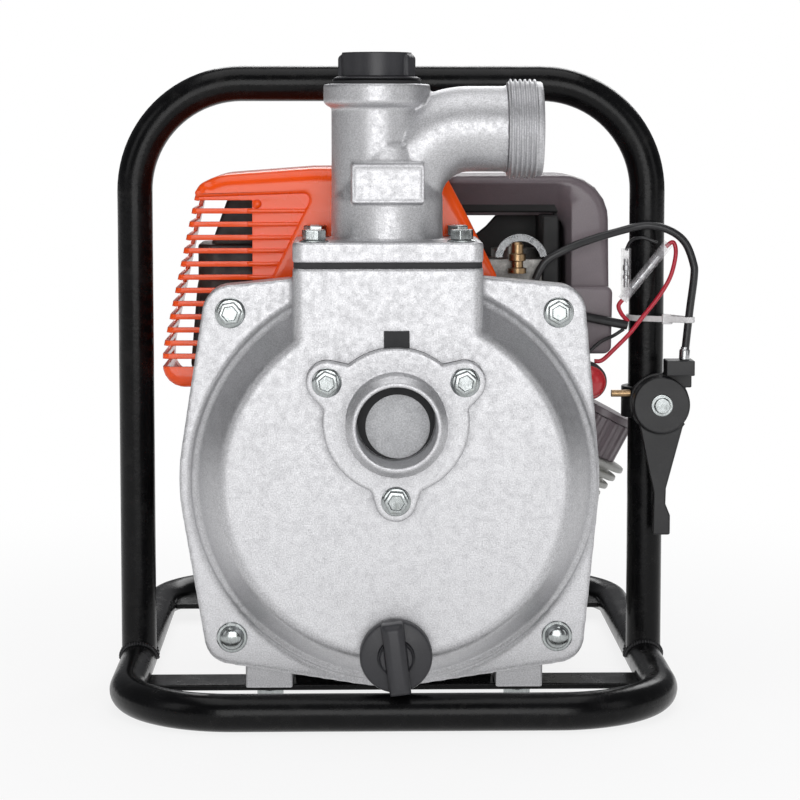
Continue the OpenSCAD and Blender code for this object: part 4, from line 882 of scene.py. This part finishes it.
# cable end on the carburettor: brass adjuster with its lock nut and a bright curved bracket
adjuster = spun([(0.00005, 0.0), (0.0046, 0.0), (0.0046, 0.0026), (0.0030, 0.0030),
                 (0.0030, 0.0060), (0.0043, 0.0064), (0.0043, 0.0096), (0.0031, 0.0100),
                 (0.0031, 0.0145), (0.0023, 0.0156), (0.00005, 0.0160)],
                (0.0628, -0.050, 0.2115), "Z", 14)
finish_piece(adjuster, "cable_adjuster_brass", "frame", "brass", (), 30, False)
BRACKET_Z = 219.5
bracket = spun([(0.0100, 0.0), (0.0136, 0.0), (0.0138, 0.0006), (0.0136, 0.0012), (0.0100, 0.0012),
                (0.0100, 0.0)], (0.0650, -0.047, 0.2175), (0.15, -1.0, 0.25), 64)
cut(bracket, (0, 0, BRACKET_Z * MM), (0, 0, 1))
trim(bracket, lambda at: at.z < BRACKET_Z)
bmesh.ops.holes_fill(bracket, edges=bracket.edges)
finish_piece(bracket, "cable_bracket_bright", "frame", "machined_steel", (), 40, False)
# the filter base is darkened below its plastic's own black: painted shade under the filter arm
rounded("air_filter_base", "filter_base", 0.0009, 2).data.materials[0] = FINISH["shade_black"]


def filter_hood():
    """Arm over the carburettor and leg beside it; the arm's front slopes in downwards."""
    hood = pressed([(28, 239.3, 2, 1.2), (28, 260.2, 6, 4.5), (111, 260.6, 23, 5.5),
                    (111.5, 199, 4, 3), (89.5, 199, 2, 1.2), (88.7, 239.3, 8, 1.6)], -30, 36)
    slope_top, slope_tall, slope_deep = 256.4, 17, 15
    leg_x, turn_wide = 92, 8
    for x in (84, 86, 88, 90, leg_x):
        cut(hood, (x * MM, 0, 0), (1, 0, 0))
    for z in (240.5, 248, 255, slope_top):
        cut(hood, (0, 0, z * MM), (0, 0, 1))
    for vert in hood.verts:
        x, y, z = vert.co / MM
        if y < 0 and z < slope_top:
            in_arm = max(0, min(1, (leg_x - x) / turn_wide))
            vert.co.y += MM * slope_deep * min(1, (slope_top - z) / slope_tall) * in_arm
    return hood


finish_piece(filter_hood(), "filter_cover", "frame", SLOT["air_filter_cover"],
             ["air_filter_cover"], 40, False)
foot = pressed([(90, 169, 3, 2), (90, 203.8, 2.2, 1.6), (113, 203.8, 4, 2.4), (112.4, 169, 4, 2)],
               -34, -8)
finish_piece(foot, "filter_cover_foot", "frame", SLOT["air_filter_cover"], (), 40, False)

# orange cover: slotted body under a cap that overlaps it with a lip
SLOT_LOW, SLOT_PITCH, SLOT_TALL, SLOT_COUNT = 165.4, 6.6, 4.0, 13
SLOT_TOP, SLOT_END_X, SLOT_END_Y = 249, -70, -7.5
BODY_FRONT, CAP_FRONT, COVER_BACK = -60.2, -62.2, 4.5
CREASE = (-59.5, 212.3)
WALL = 0.0022


def grille():
    """Body of the orange cover, open at the back, with slots round its front and left side."""
    body = pressed([(-98.0, 253, 3.5, 2.5), (-115.3, 173, 40, 3.4), (-115.3, 155, 11, 3.6),
                    (-36, 155, 3, 1), (-36, 253, 3, 1)], BODY_FRONT, COVER_BACK, False)
    for i in range(SLOT_COUNT):
        for z in (SLOT_LOW + i * SLOT_PITCH, SLOT_LOW + i * SLOT_PITCH + SLOT_TALL):
            cut(body, (0, 0, z * MM), (0, 0, 1))
    cut(body, (SLOT_END_X * MM, 0, 0), (1, 0, 0))
    cut(body, (0, SLOT_END_Y * MM, 0), (0, 1, 0))

    def in_slot(at):
        return (at.x < SLOT_END_X and at.y < SLOT_END_Y and SLOT_LOW < at.z < SLOT_TOP
                and (at.z - SLOT_LOW) % SLOT_PITCH < SLOT_TALL)

    trim(body, in_slot)
    return walled(body, WALL, 0.0007)


def cap_shell():
    """Top of the orange cover: its front face, its top and right side, and a lip on the left."""
    shell = pressed([(-99.6, 250.0, 2.0, 1.5), (-96.5, 256.4, 8, 5.0), (-87, 261.2, 30, 7),
                     (-40, 264.8, 30, 8), (25.5, 264.8, 9, 8), (52, 211, 8, 3), (52, 190, 2, 1),
                     (-67, 190, 2, 1), (*CREASE, 20, 1.5), (-39.5, 252.2, 3, 1.5)],
                    CAP_FRONT, COVER_BACK, False)
    lip_y = -57.5
    cut(shell, (0, lip_y * MM, 0), (0, 1, 0))

    def over_body(at):
        lip_end = at.x < -94 and at.z > 250.6
        return at.y > lip_y and at.z < 256 and at.x < 54 and not lip_end

    trim(shell, over_body)
    return walled(shell, WALL, 0.0005)


def cover_ribs():
    """Ribs between the slots, out to the cap's slanting edge, and the stud beside the top one."""
    ribs = []
    for i in range(SLOT_COUNT + 1):
        z = SLOT_LOW + i * SLOT_PITCH - (SLOT_PITCH - SLOT_TALL) / 2
        if z < SLOT_TOP:
            slant = 0.5 if z > CREASE[1] else 0.2
            end = CREASE[0] + (z - CREASE[1]) * slant + 1
            ribs.append(block(Vector((-72.5, BODY_FRONT - 0.9, z - 1.1)) * MM,
                              Vector((end, BODY_FRONT + 0.6, z + 1.1)) * MM, 0.0006, 3))
    ribs.append(spun([(0.00005, 0.0016), (0.0014, 0.0015), (0.0021, 0.0009), (0.0023, 0),
                      (0.0023, -0.002), (0.00005, -0.002)],
                     (-0.0676, BODY_FRONT * MM, 0.2467), "-Y", 32))
    return join(ribs)


finish_piece(grille(), "orange_cover_grille", "frame", SLOT["engine_cover"], ["engine_cover"],
             40, False)
finish_piece(cap_shell(), "orange_cover_cap", "frame", SLOT["engine_cover"], (), 40, False)
finish_piece(cover_ribs(), "orange_cover_ribs", "frame", SLOT["engine_cover"], (), 40, False)

# dark heat shield round the silencer, behind the slots
shield = pressed([(-83, 250, 5, 2), (-58, 251, 4, 2), (-55, 160, 4, 2), (-103, 160, 5, 2),
                  (-99, 206, 30, 2)], -36, -30)
finish_piece(shield, "silencer_shield", "frame", "muffler_steel", (), 40, False)

# black sheet behind the intake space, seen through the filter arm's window: painted shade standing
# for the shadow under the arm
shade_backing = pressed([(36, 196, 2, 1), (36, 222, 4, 1), (50, 233, 6, 1), (58, 242, 3, 1),
                   (92, 242, 3, 1), (92, 196, 2, 1)], 2, 6)
finish_piece(shade_backing, "intake_shade_sheet", "frame", "shade_black", (), 40, False)
rounded("fuel_tank", "tank", 0.0010, 2, 40)
rounded("fuel_cap", "fuel_filler_cap", 0.0006, 2, 40)

# ---- controls ----

# bright contacts inside the two clear sleeves
contacts = []
for a, b in (((0.1225, -0.0375, 0.2032), (0.1355, -0.0375, 0.2192)),
             ((0.120, -0.0305, 0.2030), (0.120, -0.0305, 0.2175))):
    a, b = Vector(a), Vector(b)
    contacts.append(tube([a, a.lerp(b, 0.46), a.lerp(b, 0.5), a.lerp(b, 0.54), b], 0.0012, 14))
    contacts.append(tube([a.lerp(b, 0.30), a.lerp(b, 0.42)], 0.0017, 14))
    contacts.append(tube([a.lerp(b, 0.60), a.lerp(b, 0.78)], 0.0017, 14))
finish_piece(join(contacts), "wire_contacts", "frame", "machined_steel", (), 35, False)

# ferrule where the cable enters the throttle's adjuster
ferrule = spun([(0.00005, 0.0), (0.0024, 0.0), (0.0027, 0.0004), (0.0027, 0.0048),
                (0.0024, 0.0054), (0.00205, 0.0056), (0.00205, 0.0066), (0.00005, 0.0066)],
               CABLE_ROUTE[-1], (0.05, 0, 1), 32)
finish_piece(ferrule, "cable_ferrule", "frame", "machined_steel", (), 35, False)

rounded("throttle_bracket", "throttle_clamp", 0.0006, 2, 40)
rounded("throttle_lever", "throttle_handle", 0.0010, 3, 40)
rounded("throttle_screw", "throttle_pivot_screw", 0.0004, 2, 40)
rounded("throttle_adjuster", "throttle_cable_adjuster", 0.0003, 2, 40)
rounded("stop_switch", "stop_switch_body", 0.0006, 2, 40)
rounded("cable_tie", "wire_tie", 0.0004, 2, 40)


# ---- studio ----

def studio():
    floor = bmesh.new()
    bmesh.ops.create_circle(floor, cap_ends=True, segments=96, radius=9.0)
    mesh = bpy.data.meshes.new("studio_floor")
    floor.to_mesh(mesh)
    floor.free()
    piece = bpy.data.objects.new("studio_floor", mesh)
    bpy.context.scene.collection.objects.link(piece)
    f = Finish("studio_floor")
    flat = f.add("ShaderNodeVectorMath", {"operation": "MULTIPLY"}, {0: f.place(), 1: (1, 1, 0)})
    far = f.add("ShaderNodeVectorMath", {"operation": "LENGTH"}, {0: flat}, "Value")
    seen = (f.ray("Camera") + f.ray("Glossy") + f.ray("Transmission")) > 0.5
    matt = f.add("ShaderNodeBsdfDiffuse", None, {"Color": (0.86, 0.86, 0.87, 1)})
    white = f.add("ShaderNodeEmission", None, {"Color": (1, 1, 1, 1), "Strength": 1.0})
    share = f.ramp(far, 0.15, 0.60, 0.84, 1.0) * seen
    mixed = f.add("ShaderNodeMixShader", None, {0: share, 1: matt, 2: white})
    mesh.materials.append(f.surface(mixed))

    world = bpy.data.worlds.new("studio_world")
    bpy.context.scene.world = world
    w = Finish("studio_world", world)
    lit = w.add("ShaderNodeBackground", None, {"Color": (0.95, 0.96, 1.0, 1), "Strength": 0.14})
    shown = w.add("ShaderNodeBackground", None, {"Color": (1, 1, 1, 1), "Strength": 1.0})
    seen = (w.ray("Camera") + w.ray("Transmission")) > 0.5
    w.surface(w.add("ShaderNodeMixShader", None, {0: seen, 1: lit, 2: shown}),
              "ShaderNodeOutputWorld")


def softbox(name, at, towards, size, power):
    light = bpy.data.lights.new(name, "AREA")
    light.shape = "RECTANGLE"
    light.size, light.size_y = size
    light.energy = power
    lamp = bpy.data.objects.new(name, light)
    bpy.context.scene.collection.objects.link(lamp)
    lamp.location = at
    lamp.rotation_euler = (Vector(towards) - Vector(at)).to_track_quat("-Z", "Y").to_euler()


studio()
softbox("front_softbox", (0.0, -2.4, 0.55), (0, 0, 0.16), (1.6, 1.3), 26)
softbox("top_softbox", (0.0, -0.2, 1.7), (0, 0, 0.15), (1.4, 1.4), 11)
softbox("left_softbox", (-1.5, -0.9, 0.9), (0, 0, 0.16), (0.6, 1.0), 2.5)
softbox("right_softbox", (1.5, -0.9, 0.7), (0, 0, 0.16), (0.6, 1.0), 2)
softbox("back_softbox", (0.3, 1.5, 1.2), (0, 0, 0.15), (1.4, 0.9), 15)

bpy.context.scene.view_settings.view_transform = "Standard"
